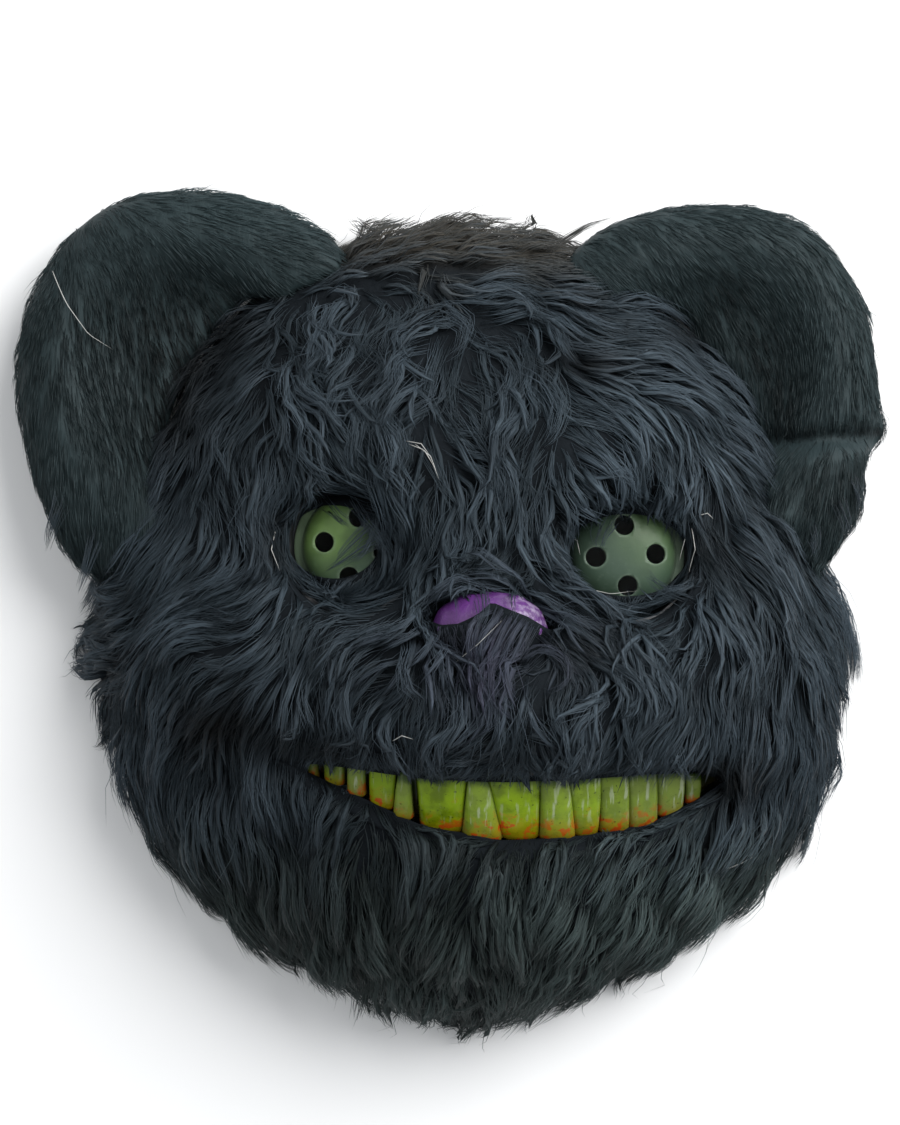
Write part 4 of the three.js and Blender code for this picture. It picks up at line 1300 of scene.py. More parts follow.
class BEARMASK_OT_backing(bpy.types.Operator):
    """Fur backing with its soft lock forms"""

    bl_idname = "bearmask.backing"
    bl_label = "Fur backing"

    def execute(self, context):
        settings = context.scene.bearmask_pile
        mesh = rounded_copy("face_fur", "fur_backing", settings.voxel, 3)
        material = backing_material("fur_backing", settings.backing_colour)
        add_piece("fur_backing", mesh, material, ["face_fur"])
        return {"FINISHED"}


# Hems: the edges of the fur cloth over the eyes, the nose and the lips


def drape(places, tree, most_drop):
    """Heights over a grid of places in plan, resting on a tree. Gaps are filled along each row."""
    heights = [height_at(tree, x, y) for x, y in places.reshape(-1, 2)]
    heights = np.array(heights).reshape(places.shape[:-1])
    for row in heights:
        good = row > max(np.median(row[row > 0]) - most_drop, HEM_LOWEST)
        steps = np.arange(len(row))
        row[~good] = np.interp(steps[~good], steps[good], row[good])
    return heights + HEM_LIFT


def hem_patch(bm, inner, outer, rows, tree, most_drop=FREE_DROP, closed=False):
    """A strip of cloth between two lines in plan, with the same number of points each."""
    share = np.linspace(0, 1, rows + 1)[:, None, None]
    places = inner[None] * (1 - share) + outer[None] * share
    heights = drape(places, tree, most_drop)
    count = len(inner)
    made = bmesh.ops.create_grid(bm, x_segments=count - 1, y_segments=rows, size=0.5)["verts"]
    for vert in made:
        column = round((vert.co.x + 0.5) * (count - 1))
        row = round((vert.co.y + 0.5) * rows)
        vert.co = (*places[row, column], heights[row, column])
    for _ in range(2):
        bmesh.ops.smooth_vert(
            bm, verts=made, factor=0.5, use_axis_x=False, use_axis_y=False, use_axis_z=True
        )
    if closed:
        bmesh.ops.remove_doubles(bm, verts=made, dist=1e-5)


def line_points(xs, ys):
    return FACE_MIDDLE + np.column_stack([xs, ys]) * MM


def hem_mesh(name, tree):
    bm = bmesh.new()
    turn = np.linspace(0, 2 * math.pi, 73)
    ring = np.column_stack([np.cos(turn), np.sin(turn)])
    for node, (east, north, half_width, half_height) in EYE_WINDOWS.items():
        middle = middle_of(node)[:2]
        inner = middle + (np.array([east, north]) + ring * (half_width, half_height) * 1.02) * MM
        hem_patch(bm, inner, middle + ring * EYE_HEM, 8, tree, closed=True)
    arc = np.array(NOSE_ARC)
    xs = np.linspace(arc[0, 0] - 1, arc[-1, 0] + 1, 25)
    middle = np.interp(xs, arc[:, 0], arc[:, 1])
    half = np.interp(xs, arc[:, 0], arc[:, 2])
    swing = np.sqrt(np.clip(1 - ((xs - 6) / 21) ** 2, 0, 1))
    upper, lower = line_points(xs, middle + half), line_points(xs, middle - half)
    hem_patch(bm, lower, line_points(xs, 2 - 12 * swing), 10, tree, NOSE_DROP)
    hem_patch(bm, upper, line_points(xs, middle + half + LIP_HEM), 5, tree, NOSE_DROP)
    lips = np.array(LIPS)
    xs = np.linspace(lips[0, 0], lips[-1, 0], 70)
    top = np.interp(xs, lips[:, 0], lips[:, 1])
    bottom = np.interp(xs, lips[:, 0], lips[:, 2])
    hem_patch(bm, line_points(xs, top - 1), line_points(xs, top + LIP_HEM), 5, tree)
    hem_patch(bm, line_points(xs, bottom + 1), line_points(xs, bottom - LIP_HEM), 5, tree)
    bmesh.ops.recalc_face_normals(bm, faces=bm.faces)
    down = [face for face in bm.faces if face.normal.z < 0]
    bmesh.ops.reverse_faces(bm, faces=down)
    return mesh_from_bmesh(bm, name)


class BEARMASK_OT_hems(bpy.types.Operator):
    """Edges of the fur cloth round the eyes, over the nose and along the lips"""

    bl_idname = "bearmask.hems"
    bl_label = "Hems"

    def execute(self, context):
        settings = context.scene.bearmask_pile
        tree = search_tree(meshes_of(*UNDER_THE_PILE))
        material = backing_material("fur_hem", settings.backing_colour)
        hems = add_piece("fur_hems", hem_mesh("fur_hems", tree), material)
        thicken(hems, HEM_WALL, -1)
        return {"FINISHED"}


# Ears


def swell(piece, pressure, most):
    """Swells a closed mesh by a short cloth simulation and caps how far its points move."""
    cloth = piece.modifiers.new("Stuffing", "CLOTH")
    cloth.settings.use_pressure = True
    cloth.settings.uniform_pressure_force = pressure
    cloth.settings.effector_weights.gravity = 0
    cloth.point_cache.frame_start = 1
    cloth.point_cache.frame_end = CLOTH_FRAMES
    scene = bpy.context.scene
    for number in range(1, CLOTH_FRAMES + 1):
        scene.frame_set(number)
    rest = points_of(piece.data)
    evaluated = piece.evaluated_get(bpy.context.evaluated_depsgraph_get())
    moved = points_of(evaluated.data) - rest
    length = np.linalg.norm(moved, axis=1, keepdims=True)
    moved *= np.minimum(1, most / np.maximum(length, 1e-9))
    piece.modifiers.remove(cloth)
    move_points(piece.data, rest + moved)
    scene.frame_set(1)


def crease_gap(points):
    """Distance in plan from the crease of the right ear, and the share along it."""
    start, end = (FACE_MIDDLE + np.array(place) * MM for place in EAR_CREASE)
    run = end - start
    share = np.clip((points[..., :2] - start) @ run / (run @ run), 0, 1)
    return np.linalg.norm(points[..., :2] - start - share[..., None] * run, axis=-1), share


def press_crease(mesh):
    """Presses the crease into the front of the right ear and makes its outline uneven."""
    points = points_of(mesh)
    gap, share = crease_gap(points)
    middle = (points[:, 2].min() + points[:, 2].max()) / 2
    front = np.clip((points[:, 2] - middle) / (8 * MM) + 0.5, 0, 1)
    valley = np.exp(-((gap / CREASE_REACH) ** 2)) * front
    points[:, 2] -= CREASE_DEPTH * (0.4 + 0.6 * share) * valley
    x, y = on_face(points)
    for *mark, shift in EAR_PUSHES:
        points[:, 0] += shift * MM * mound(x, y, *mark)
    move_points(mesh, points)


def in_the_crease(points):
    return crease_gap(points)[0] < CREASE_GAP


def ear_material(name, colour):
    """Short combed pile seen between its strands: fine streaks down the ear."""
    shader = Shader(name)
    streaks = shader.noise(1, 4, shader.stretched(shader.place(), (900, 160, 500)))
    patch = shader.noise(45, 2)
    dark = tuple(0.6 * part for part in colour)
    return shader.finish(
        Base_Color=shader.mix(streaks * 0.7 + patch * 0.3, dark, colour),
        Roughness=streaks * 0.2 + 0.5,
        Specular_IOR_Level=0.15,
        Normal=shader.bump(streaks, 0.6 * MM, 0.7),
    )


class BEARMASK_OT_ears(bpy.types.Operator):
    """Two padded ears with short combed pile"""

    bl_idname = "bearmask.ears"
    bl_label = "Ears"

    def execute(self, context):
        settings = context.scene.bearmask_ears
        material = ear_material("ear_cloth", settings.colour)
        strand_material = pile_material("short_pile", SHORT_ROOT_TONE)
        for side, seed in EAR_SEEDS.items():
            node = f"ear_{side}"
            mesh = rounded_copy(node, f"{side}_ear", settings.voxel, 2)
            ear = add_piece(f"{side}_ear", mesh, material, [node])
            swell(ear, settings.pressure, settings.swell)
            smooth = ear.modifiers.new("Smooth", "SUBSURF")
            smooth.levels = smooth.render_levels = 1
            apply_modifiers(ear)
            if side == "right":
                press_crease(ear.data)
            self.dress(ear, f"{side}_ear_pile", settings, strand_material, seed)
        return {"FINISHED"}

    @staticmethod
    def dress(ear, name, settings, material, seed):
        rng = np.random.default_rng(seed)
        around = search_tree([ear.data, NODES["face_fur"].data])
        ground = search_tree([ear.data])
        roots, normals = scatter([ear.data], settings.strands * 3, rng)
        free = open_to_the_air(around, roots, normals, None, EAR_ROOM)
        roots, normals = roots[free][: settings.strands], normals[free][: settings.strands]
        chosen = rng.choice(len(roots), len(roots) // 4, replace=False)
        relief = Relief(ground, EAR_RELIEF)
        start, facing, reach = roots[chosen], normals[chosen], settings.length
        guides, frames = grow_guides(
            ground, relief, EAR_COMBING, start, facing, reach, EAR_LOFT, EAR_WILDNESS, rng
        )
        paths, ups = gather_strands(guides, frames, roots, *EAR_GATHER, rng)
        colours = shades_of(roots, rng, settings.colour, settings.light_colour)
        kept = np.minimum(rng.uniform(0.8, 1, len(roots)), cut_back(paths, in_the_crease, rng))
        mesh = strand_mesh(name, paths, ups, kept, settings.width, SHORT_STRAND, colours)
        add_piece(name, mesh, material)


# Eyes


def seat_of(node):
    """Frame of a round CAD node: middle of its rim's lower face, with +Z along its axis."""
    points = np.unique(points_of(NODES[node].data).round(7), axis=0)
    middle = points.mean(0)
    axis = np.linalg.svd(points - middle)[2][2]
    axis = axis * np.sign(axis[2])
    heights = (points - middle) @ axis
    flat = (points - middle) - heights[:, None] * axis
    radius = np.linalg.norm(flat, axis=1)
    rim = points[radius > 0.97 * radius.max()]
    centre = rim.mean(0)
    low = ((rim - centre) @ axis).min()
    turn = Vector((0, 0, 1)).rotation_difference(Vector(axis))
    return Matrix.Translation(Vector(centre + axis * low)) @ turn.to_matrix().to_4x4()


def dome_profile(settings, flange):
    """Section of a dome's wall from its inner pole round the flange to its outer pole."""
    radius, height, wall = settings.dome_radius, settings.dome_height, settings.dome_wall
    arc = [math.radians(angle) for angle in range(8, 90, 8)]

    def curve(reach, rise, base):
        return [(reach * math.cos(a) ** 0.6, base + (rise - base) * math.sin(a)) for a in arc]

    inside = curve(radius - wall, height - wall, 0)
    outside = curve(radius, height, wall)
    rim = [
        (radius - wall, 0),
        (radius + flange, 0),
        (radius + flange, 0.6 * wall),
        (radius + 0.9 * flange, wall),
        (radius + 0.15 * flange, wall),
        (radius, 1.2 * wall),
    ]
    return [(0, height - wall), *reversed(inside), *rim, *outside, (0, height)]


def dome_mesh(name, settings):
    """A moulded dome with its flange, round the origin along +Z; the eyes' operator cuts its four
    sight holes and sets it on its seat.
    """
    bm = bmesh.new()
    corners = [bm.verts.new((r, 0, h)) for r, h in dome_profile(settings, DOME_FLANGE)]
    edges = [bm.edges.new(pair) for pair in zip(corners, corners[1:])]
    bmesh.ops.spin(
        bm,
        geom=corners + edges,
        axis=(0, 0, 1),
        angle=2 * math.pi,
        steps=DOME_SIDES,
        use_merge=True,
    )
    bmesh.ops.remove_doubles(bm, verts=bm.verts, dist=1e-6)
    bmesh.ops.recalc_face_normals(bm, faces=bm.faces)
    return mesh_from_bmesh(bm, name)


def pierce(piece, places, radius):
    """Cuts round holes along z through a piece."""
    bm = bmesh.new()
    for x, y in places:
        bmesh.ops.create_cone(
            bm,
            cap_ends=True,
            segments=HOLE_SIDES,
            radius1=radius,
            radius2=radius,
            depth=0.06,
            matrix=Matrix.Translation((x, y, 0)),
        )
    cutter = new_object("sight_holes", mesh_from_bmesh(bm, "sight_holes"))
    cut = piece.modifiers.new("Holes", "BOOLEAN")
    cut.operation = "DIFFERENCE"
    cut.solver = "EXACT"
    cut.object = cutter
    apply_modifiers(piece)
    bpy.data.objects.remove(cutter)


def eye_material(name, seat, holes, settings, glow, shaded_side):
    """Cloudy green plastic with grime: painted light to one side, painted shade to the other,
    and pale scraped rims round the holes.
    """
    shader = Shader(name)
    middle = seat.translation
    cloud = shader.noise(160, 4)
    # Painted light on the lit side of the dome.
    towards = shader.distance((middle.x + glow[0] * MM, middle.y + glow[1] * MM))
    bright = (towards + (cloud - 0.5) * 6 * MM).between(22 * MM, 2 * MM) * glow[2]
    colour = shader.mix(bright, settings.eye_colour, settings.eye_bright)
    scuffs = shader.noise(700, 3).between(0.56, 0.75)
    rims = None
    for hole in holes:
        spot = seat @ Vector((*hole, settings.dome_height))
        ring = (shader.distance(spot) + (cloud - 0.5) * 1.2 * MM).between(4.4 * MM, 3.5 * MM)
        rims = ring if rims is None else rims.most(ring)
    edge = shader.distance(middle).between(16.8 * MM, 18.4 * MM)
    pale = (rims * 0.2 + edge * 0.5 + scuffs * 0.08).least(1.0)
    colour = shader.mix(pale, colour, SCRAPED_EYE)
    grime = shader.noise(90, 3).between(0.5, 0.72)
    # Painted shade on the far side of the dome, mixed with the random grime.
    shaded = shader.distance((middle.x + shaded_side[0] * MM, middle.y + shaded_side[1] * MM))
    shaded = (shaded + (cloud - 0.5) * 8 * MM).between(20 * MM, 8 * MM) * shaded_side[2]
    colour = shader.mix((grime * 0.4 + shaded).least(1.0), colour, EYE_GRIME_AND_SHADE)
    return shader.finish(
        Base_Color=colour,
        Roughness=scuffs * 0.3 + 0.45,
        Specular_IOR_Level=0.2,
        Coat_Weight=0.08,
        Coat_Roughness=0.2,
        Normal=shader.bump(cloud, 0.3 * MM, 0.5),
    )


class BEARMASK_OT_eyes(bpy.types.Operator):
    """Two see-through eye domes with four sight holes each"""

    bl_idname = "bearmask.eyes"
    bl_label = "Eye domes"

    def execute(self, context):
        settings = context.scene.bearmask_plastics
        for node, name, turn, glow, shaded_side in EYES:
            seat = seat_of(node)
            angles = [math.radians(turn + 90 * k) for k in range(4)]
            reach = settings.hole_circle
            holes = [(reach * math.cos(a), reach * math.sin(a)) for a in angles]
            material = eye_material(name, seat, holes, settings, glow, shaded_side)
            dome = add_piece(name, dome_mesh(name, settings), material, [node])
            pierce(dome, holes, settings.hole_radius)
            dome.data.transform(seat)
            dome.data.shade_smooth()
            dome.data.update()
        return {"FINISHED"}


# Nose


def nose_material(name, colour):
    """Purple moulded plastic with a fine leather grain, a gloss and a painted highlight towards its right
    end.
    """
    shader = Shader(name)
    cells = shader.node(
        "ShaderNodeTexVoronoi", {"feature": "DISTANCE_TO_EDGE"}, {"Vector": shader.place(), "Scale": 700}
    )
    grain = cells.between(0.0, 0.12)
    patch = shader.noise(120, 3)
    light = tuple(min(1, 1.7 * part) for part in colour)
    # Painted highlight in patches towards the right end of the nose.
    nose_highlight = shader.noise(420, 3).between(0.42, 0.6) * shader.coordinate(0).between(*NOSE_HIGHLIGHT_SPAN)
    colour = shader.mix(patch.between(0.3, 0.75), colour, light)
    return shader.finish(
        Base_Color=shader.mix(nose_highlight * 0.5, colour, NOSE_HIGHLIGHT_COLOUR),
        Roughness=patch * 0.2 + 0.3,
        Specular_IOR_Level=0.4,
        Coat_Weight=0.3,
        Coat_Roughness=0.2,
        Normal=shader.bump(grain, 0.15 * MM, 0.5),
    )


class BEARMASK_OT_nose(bpy.types.Operator):
    """Glossy nose under the muzzle's pile"""

    bl_idname = "bearmask.nose"
    bl_label = "Nose"

    def execute(self, context):
        settings = context.scene.bearmask_plastics
        mesh = rounded_copy("nose", "nose_cap", NOSE_VOXEL, 3)
        middle = middle_of("nose")
        points = points_of(mesh)
        x, y = ((points[:, :2] - middle[:2]) / MM).T
        for *mark, depth in NOSTRILS:
            points[:, 2] -= depth * MM * mound(x, y, *mark) * (points[:, 2] > middle[2])
        move_points(mesh, points)
        material = nose_material("nose_plastic", settings.nose_colour)
        add_piece("nose_cap", mesh, material, ["nose"])
        return {"FINISHED"}


# Teeth


class Gumline:
    """Smooth surface through the CAD teeth: height over a place, and its normal."""

    def __init__(self, node):
        points = points_of(NODES[node].data)
        self.origin = points.mean(0)
        self.size = points.max(0) - points.min(0)
        self.weights = np.linalg.lstsq(self.terms(points[:, 0], points[:, 1]), points[:, 2], rcond=None)[0]

    def terms(self, x, y):
        x = (x - self.origin[0]) / self.size[0]
        y = (y - self.origin[1]) / self.size[1]
        parts = [x**i * y**j for i in range(5) for j in range(3) if i + 2 * j <= 5]
        return np.stack(parts, axis=-1)

    def height(self, x, y):
        return self.terms(x, y) @ self.weights

    def normal(self, x, y):
        step = 1 * MM
        slope_x = (self.height(x + step, y) - self.height(x - step, y)) / (2 * step)
        slope_y = (self.height(x, y + step) - self.height(x, y - step)) / (2 * step)
        return unit(np.stack([-slope_x, -slope_y, np.ones_like(slope_x)], axis=-1))


def lay_on_gum(gumline, x, y, lift):
    """Points over places in mm, raised from the gumline by lift in metres."""
    x, y = x * MM + FACE_MIDDLE[0], y * MM + FACE_MIDDLE[1]
    base = np.stack([x, y, gumline.height(x, y)], axis=-1)
    return base + gumline.normal(x, y) * lift[..., None]


def grid_into(bm, columns, rows):
    """A new grid in a bmesh, and the place of each of its vertices from 0 to 1 both ways."""
    made = bmesh.ops.create_grid(bm, x_segments=columns, y_segments=rows, size=0.5)["verts"]
    places = np.array([(vert.co.x + 0.5, 0.5 - vert.co.y) for vert in made])
    return made, places[:, 0], places[:, 1]


def set_points(verts, points, layer, values):
    for vert, point, value in zip(verts, points, values):
        vert.co = point
        vert[layer] = value


def tooth_strip_mesh(settings):
    """Crooked teeth, each a bulged plate, in front of the gum strip that holds them."""
    gumline = Gumline("teeth")
    bm = bmesh.new()
    layer = bm.verts.layers.float_color.new("tooth")
    lips = np.array(LIPS)
    verts, across, down = grid_into(bm, 90, 10)
    x = GUM_START + GUM_LENGTH * across
    top = np.interp(x, lips[:, 0], lips[:, 1]) + 4
    bottom = np.interp(x, lips[:, 0], lips[:, 2]) + 2
    y = top + (bottom - top) * down
    points = lay_on_gum(gumline, x, y, np.full(len(x), -GUM_DEPTH))
    set_points(verts, points, layer, [(0, share, 0, GUM_TONE) for share in down])
    for left, right, tip_left, tip_right, top, bottom, pale, forward in TEETH:
        verts, across, down = grid_into(bm, 12, 14)
        edge = np.abs(2 * across - 1)
        first = left - 0.5 + (tip_left - left) * down
        last = right + 0.5 + (tip_right - right) * down
        x = first + (last - first) * across
        rounding = 0.09 * (top - bottom) * edge**3
        y = top + 1.5 + (bottom - top - 1.5) * down + rounding * np.clip(down * 2 - 1, 0, 1)
        y -= rounding * np.clip(1 - 3 * down, 0, 1)
        crown = np.clip(1 - edge**4, 0, 1) ** 0.5
        ends = np.clip(1 - np.clip((down - 0.72) / 0.28, 0, 1) ** 2, 0, 1) ** 0.5
        ends *= 0.45 + 0.55 * np.clip(down / 0.4, 0, 1) ** 0.7
        lift = settings.tooth_rise * (0.65 * crown * ends + 0.35 * forward * ends) - 0.2 * MM
        points = lay_on_gum(gumline, x, y, lift)
        tone = 1 - SIDE_SHADE * min(1, abs(left - 5) / 65) ** 1.5
        set_points(verts, points, layer, [(c, share, pale, tone) for c, share in zip(crown, down)])
    return mesh_from_bmesh(bm, "tooth_strip")


def teeth_material(name, settings):
    """Yellow-green plastic: pale at the edges and the gum, orange at the tips, splashed, with painted
    highlights down the teeth and painted shade in the gaps between them.
    """
    shader = Shader(name)
    channels = shader.node("ShaderNodeSeparateColor", None, {0: shader.attribute("tooth", "Color")})
    crown, down, pale = (Signal(shader, channels.socket.node.outputs[k]) for k in range(3))
    cloud = shader.noise(140, 4)
    mottle = shader.noise(260, 3)
    deep = tuple(0.5 * part for part in settings.tooth_colour)
    colour = shader.mix(cloud.between(0.35, 0.62), deep, settings.tooth_colour)
    streaks = shader.noise(1, 3, shader.stretched(shader.place(), (600, 60, 200)))
    edge = (crown + (mottle - 0.5) * 0.5).between(0.95, 0.5)
    top = (down + (cloud - 0.5) * 0.2).between(0.42, 0.2)
    paleness = (pale * (0.3 + streaks) + edge * 0.25 + top * 0.15).least(0.9)
    colour = shader.mix(paleness, colour, settings.pale_colour)
    glow = (down + (cloud - 0.5) * 0.7).between(0.5, 1.0) * 0.8
    colour = shader.mix(glow, colour, ORANGE_TIP)
    gum = (down + (cloud - 0.5) * 0.14).between(0.22, 0.1)
    colour = shader.mix(gum * 0.85, colour, settings.gum_colour)
    splash = shader.noise(330, 4).between(0.53, 0.58)
    near_tip = (down + (cloud - 0.5) * 0.9).between(0.5, 0.85)
    colour = shader.mix(splash * near_tip, colour, settings.splash_colour)
    specks = shader.noise(900, 2).between(0.66, 0.72)
    colour = shader.mix(specks * 0.7, colour, TOOTH_SPECK)
    # Painted highlights in streaks down the middle of the teeth.
    tooth_highlight = streaks.between(0.56, 0.66) * crown.between(0.6, 0.95) * down.between(0.8, 0.5)
    colour = shader.mix(tooth_highlight * (0.3 + pale * 0.4), colour, TOOTH_HIGHLIGHT)
    # Painted shade in the gaps along the sides of each tooth.
    colour = shader.mix(crown.between(0.4, 0.05) * 0.85, colour, TOOTH_GAP_SHADE)
    return shader.finish(
        Base_Color=shader.toned(colour, shader.attribute("tooth", "Alpha")),
        Roughness=cloud * 0.25 + 0.16,
        Specular_IOR_Level=0.2,
        Coat_Weight=0.15,
        Coat_Roughness=0.08,
        Normal=shader.bump(mottle, 0.35 * MM, 0.6),
    )


class BEARMASK_OT_teeth(bpy.types.Operator):
    """Strip of crooked upper teeth"""

    bl_idname = "bearmask.teeth"
    bl_label = "Teeth"

    def execute(self, context):
        settings = context.scene.bearmask_plastics
        material = teeth_material("teeth_plastic", settings)
        mesh = tooth_strip_mesh(settings)
        strip = add_piece("tooth_strip", mesh, material, ["teeth"])
        thicken(strip, TOOTH_WALL, -1)
        return {"FINISHED"}


# Shell and strap


def shell_material(name):
    """Matt dark moulded plastic, also painted shade where it shows through the sight holes, with faint
    flow marks.
    """
    shader = Shader(name)
    flow = shader.noise(18, 3, shader.stretched(shader.place(), (1, 3, 1)))
    grain = shader.noise(1500, 2)
    return shader.finish(
        Base_Color=shader.mix(flow, *SHELL_TONES_AND_SHADE),
        Roughness=flow * 0.2 + 0.42,
        Normal=shader.bump(grain, 0.05 * MM, 0.4),
    )


class BEARMASK_OT_shell(bpy.types.Operator):
    """Finish of the CAD shell, which stays as it is"""

    bl_idname = "bearmask.shell"
    bl_label = "Shell"

    def execute(self, context):
        material = shell_material("shell_plastic")
        for slot in NODES["face_shell"].material_slots:
            slot.material = material
        return {"FINISHED"}


def strap_path(low, high, bend):
    """Corners of the strap's outer line, from one turned-up end to the other, as x and z."""
    turns = [math.radians(angle) for angle in range(0, 91, 10)]
    left = [(low.x + bend * (1 - math.cos(a)), low.z + bend * (1 - math.sin(a))) for a in turns]
    right = [(high.x + low.x - x, z) for x, z in reversed(left)]
    return np.array([(low.x, high.z), *left, *right, (high.x, high.z)])


def strap_mesh(name):
    """Elastic band as a grid, ribbed along its length."""
    low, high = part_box("head_strap")
    bm = bmesh.new()
    bm.loops.layers.uv.new("band")
    bmesh.ops.create_grid(bm, x_segments=60, y_segments=27, size=0.5, calc_uvs=True)
    mesh = mesh_from_bmesh(bm, name)
    points = points_of(mesh)
    path = strap_path(low, high, STRAP_BEND)
    runs = np.concatenate([[0], np.cumsum(np.linalg.norm(np.diff(path, axis=0), axis=1))])
    reach = (points[:, 0] + 0.5) * runs[-1]
    x = np.interp(reach, runs, path[:, 0])
    z = np.interp(reach, runs, path[:, 1])
    across = (points[:, 1] + 0.5) * (high.y - low.y)
    rib = RIB_HEIGHT * np.cos(across / (high.y - low.y) * 2 * math.pi * STRAP_RIBS)
    z = z + STRAP_LIFT + rib * (z < low.z + 1 * MM)
    move_points(mesh, np.stack([x, low.y + across, z], axis=-1))
    return mesh


def strap_material(name):
    """Black woven elastic."""
    shader = Shader(name)
    band = shader.node("ShaderNodeUVMap", {"uv_map": "band"})
    weave = shader.node(
        "ShaderNodeTexChecker", None, {"Vector": shader.stretched(band, (420, 36, 1)), "Scale": 1.0}, 1
    )
    fuzz = shader.noise(1200, 2)
    return shader.finish(
        Base_Color=shader.mix(weave * 0.6 + fuzz * 0.4, *ELASTIC_TONES),
        Roughness=fuzz * 0.1 + 0.8,
        Normal=shader.bump(weave, 0.15 * MM, 0.6),
    )


class BEARMASK_OT_strap(bpy.types.Operator):
    """Elastic strap across the back"""

    bl_idname = "bearmask.strap"
    bl_label = "Strap"

    def execute(self, context):
        material = strap_material("elastic")
        mesh = strap_mesh("elastic_strap")
        strap = add_piece("elastic_strap", mesh, material, ["head_strap"])
        thicken(strap, STRAP_WALL, 1)
        return {"FINISHED"}


# Stray locks and threads


def upright(paths):
    """Normals straight up for every point of the paths."""
    return np.broadcast_to((0.0, 0.0, 1.0), paths.shape)


def draped_path(line, tree, lift):
    """Points along a line given in mm in plan, laid over a tree and raised from it."""
    places = FACE_MIDDLE + np.array(line) * MM
    rows = np.linspace(0, len(places) - 1, GUIDE_STEPS + 1)
    x = np.interp(rows, range(len(places)), places[:, 0])
    y = np.interp(rows, range(len(places)), places[:, 1])
    nearest = [tree.find_nearest((a, b, EDGE_HEIGHT))[0].z for a, b in zip(x, y)]
    z = np.array([height_at(tree, a, b) or near for a, b, near in zip(x, y, nearest)])
    z = np.maximum(z, z[0] - STEEPEST * np.hypot(x - x[0], y - y[0]))
    path = np.column_stack([x, y, np.convolve(np.pad(z, 1, "edge"), (0.25, 0.5, 0.25), "valid")])
    path[:, 2] += lift * (0.3 + 0.7 * np.linspace(0, 1, len(path)) ** 0.5)
    return path


def top_of_the_mask():
    """Search tree over all that stray locks and threads lie on."""
    return search_tree(meshes_of("fur_hems", "left_ear", "right_ear", *UNDER_THE_PILE))


class BEARMASK_OT_stray_locks(bpy.types.Operator):
    """Curls and stray locks that stand out of the pile"""

    bl_idname = "bearmask.stray_locks"
    bl_label = "Stray locks"

    def execute(self, context):
        settings = context.scene.bearmask_pile
        rng = np.random.default_rng(STRAY_SEED)
        tree = top_of_the_mask()
        share = np.linspace(0, 1, GUIDE_STEPS + 1)[:, None, None]
        parts = []
        for count, spread, line in STRAY_LOCKS:
            path = draped_path(line, tree, settings.loft)[:, None]
            side = rng.normal(0, spread * MM, (1, count, 3)) * (1, 1, 0.4)
            swing = rng.uniform(0, 2 * math.pi, (1, count, 1))
            sway = np.sin(share * rng.uniform(2, 5, (1, count, 1)) + swing) * 0.5 * spread * MM
            parts.append(path + side * (1 - 0.75 * share) + sway * share)
        paths = np.concatenate(parts, axis=1)
        paths[..., 2] = np.maximum(paths[..., 2], FLOOR_GAP)
        kept = rng.uniform(0.75, 1, paths.shape[1])
        colours = face_colours(paths[0], settings, rng)
        ups = upright(paths)
        mesh = strand_mesh("stray_locks", paths, ups, kept, settings.width, CURLED_STRAND, colours)
        add_piece("stray_locks", mesh, pile_material("stray_pile", STRAY_ROOT_TONE))
        return {"FINISHED"}


def thread_material(name):
    shader = Shader(name)
    return shader.finish(
        Base_Color=shader.mix(shader.noise(500, 2), *THREAD_TONES),
        Roughness=shader.noise(900, 1) * 0.1 + 0.7,
    )


class BEARMASK_OT_threads(bpy.types.Operator):
    """Pale threads caught in the pile"""

    bl_idname = "bearmask.threads"
    bl_label = "Threads"

    def execute(self, context):
        tree = top_of_the_mask()
        paths = np.stack([draped_path(line, tree, THREAD_LIFT) for line in THREADS], axis=1)
        kept, white = np.ones(len(THREADS)), np.ones((len(THREADS), 3))
        ups = upright(paths)
        mesh = strand_mesh("pale_threads", paths, ups, kept, THREAD_WIDTH, THREAD_STRAND, white)
        add_piece("pale_threads", mesh, thread_material("pale_thread"))
        return {"FINISHED"}


# Stage


def add_light(name, place, aim, size, power):
    discard(name)
    lamp = bpy.data.lights.new(name, "AREA")
    lamp.shape = "DISK"
    lamp.size = size
    lamp.energy = power
    light = new_object(name, lamp)
    light.location = place
    light.rotation_euler = (Vector(aim) - Vector(place)).to_track_quat("-Z", "Y").to_euler()


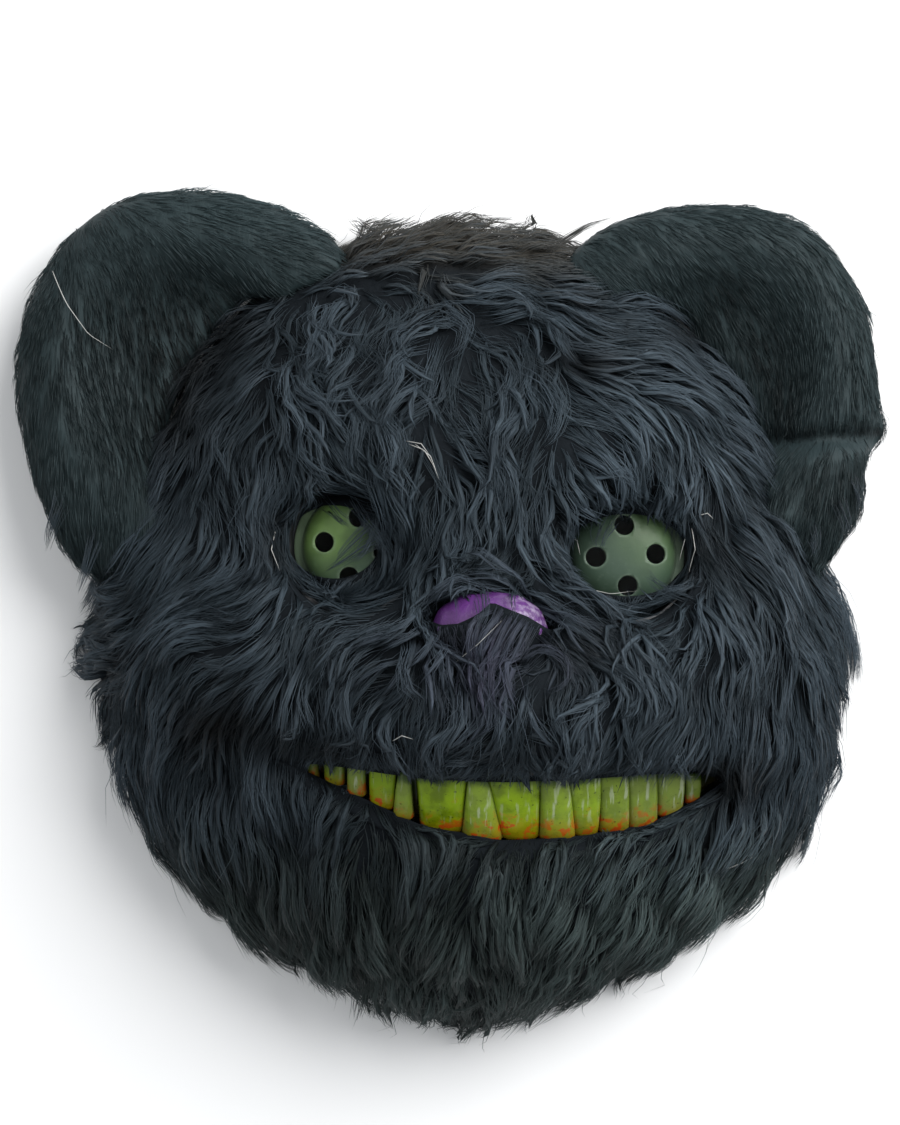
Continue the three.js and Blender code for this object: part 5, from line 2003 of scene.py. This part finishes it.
class BEARMASK_OT_stage(bpy.types.Operator):
    """Pale floor, soft light and the camera over the face"""

    bl_idname = "bearmask.stage"
    bl_label = "Stage"

    def execute(self, context):
        settings = context.scene.bearmask_stage
        self.floor(settings)
        add_light("key_light", *KEY_LIGHT, settings.key_power)
        add_light("fill_light", *FILL_LIGHT, settings.fill_power)
        context.scene.view_settings.view_transform = "Standard"
        self.sky(context.scene, settings.sky_strength)
        self.camera(context.scene)
        return {"FINISHED"}

    @staticmethod
    def floor(settings):
        discard("floor")
        bm = bmesh.new()
        bmesh.ops.create_grid(bm, x_segments=1, y_segments=1, size=6)
        floor = new_object("floor", mesh_from_bmesh(bm, "floor"))
        shader = Shader("floor")
        tone = shader.noise(3, 2) * 0.02 + 0.6
        floor.data.materials.append(shader.finish(Base_Color=settings.floor_colour, Roughness=tone))

    @staticmethod
    def sky(scene, strength):
        world = bpy.data.worlds.new("soft_room")
        world.use_nodes = True
        background = world.node_tree.nodes["Background"]
        background.inputs["Color"].default_value = (0.94, 0.97, 1, 1)
        background.inputs["Strength"].default_value = strength
        scene.world = world

    @staticmethod
    def camera(scene):
        discard("camera")
        lens = bpy.data.cameras.new("camera")
        lens.sensor_fit = "AUTO"
        lens.sensor_width = 36
        lens.lens = CAMERA_LENS
        lens.clip_end = 20
        camera = new_object("camera", lens)
        camera.location = CAMERA_PLACE
        scene.camera = camera


class BEARMASK_PT_panel(bpy.types.Panel):
    """Sizes, colours and the buttons that make the pieces"""

    bl_label = "Bear mask"
    bl_idname = "BEARMASK_PT_panel"
    bl_space_type = "VIEW_3D"
    bl_region_type = "UI"
    bl_category = "Bear mask"

    def draw(self, context):
        scene = context.scene
        for name in SETTINGS:
            box = self.layout.box()
            group = getattr(scene, name)
            box.label(text=group.__doc__ or name)
            for prop in group.__annotations__:
                box.prop(group, prop)
        for operator in OPERATORS:
            self.layout.operator(operator.bl_idname)


SETTINGS = {
    "bearmask_pile": PileSettings,
    "bearmask_ears": EarSettings,
    "bearmask_plastics": PlasticSettings,
    "bearmask_stage": StageSettings,
}

# In the order in which they run: the pile comes last, because it lies on the other pieces.
OPERATORS = (
    BEARMASK_OT_stage,
    BEARMASK_OT_shell,
    BEARMASK_OT_eyes,
    BEARMASK_OT_nose,
    BEARMASK_OT_teeth,
    BEARMASK_OT_strap,
    BEARMASK_OT_backing,
    BEARMASK_OT_hems,
    BEARMASK_OT_ears,
    BEARMASK_OT_face_pile,
    BEARMASK_OT_stray_locks,
    BEARMASK_OT_threads,
)


def register():
    for group in SETTINGS.values():
        bpy.utils.register_class(group)
    for name, group in SETTINGS.items():
        setattr(bpy.types.Scene, name, PointerProperty(type=group))
    for operator in OPERATORS:
        bpy.utils.register_class(operator)
    bpy.utils.register_class(BEARMASK_PT_panel)


def unregister():
    bpy.utils.unregister_class(BEARMASK_PT_panel)
    for operator in reversed(OPERATORS):
        bpy.utils.unregister_class(operator)
    for name, group in SETTINGS.items():
        delattr(bpy.types.Scene, name)
        bpy.utils.unregister_class(group)


def main():
    register()
    for operator in OPERATORS:
        group, action = operator.bl_idname.split(".")
        getattr(getattr(bpy.ops, group), action)()


if __name__ == "__main__":
    main()
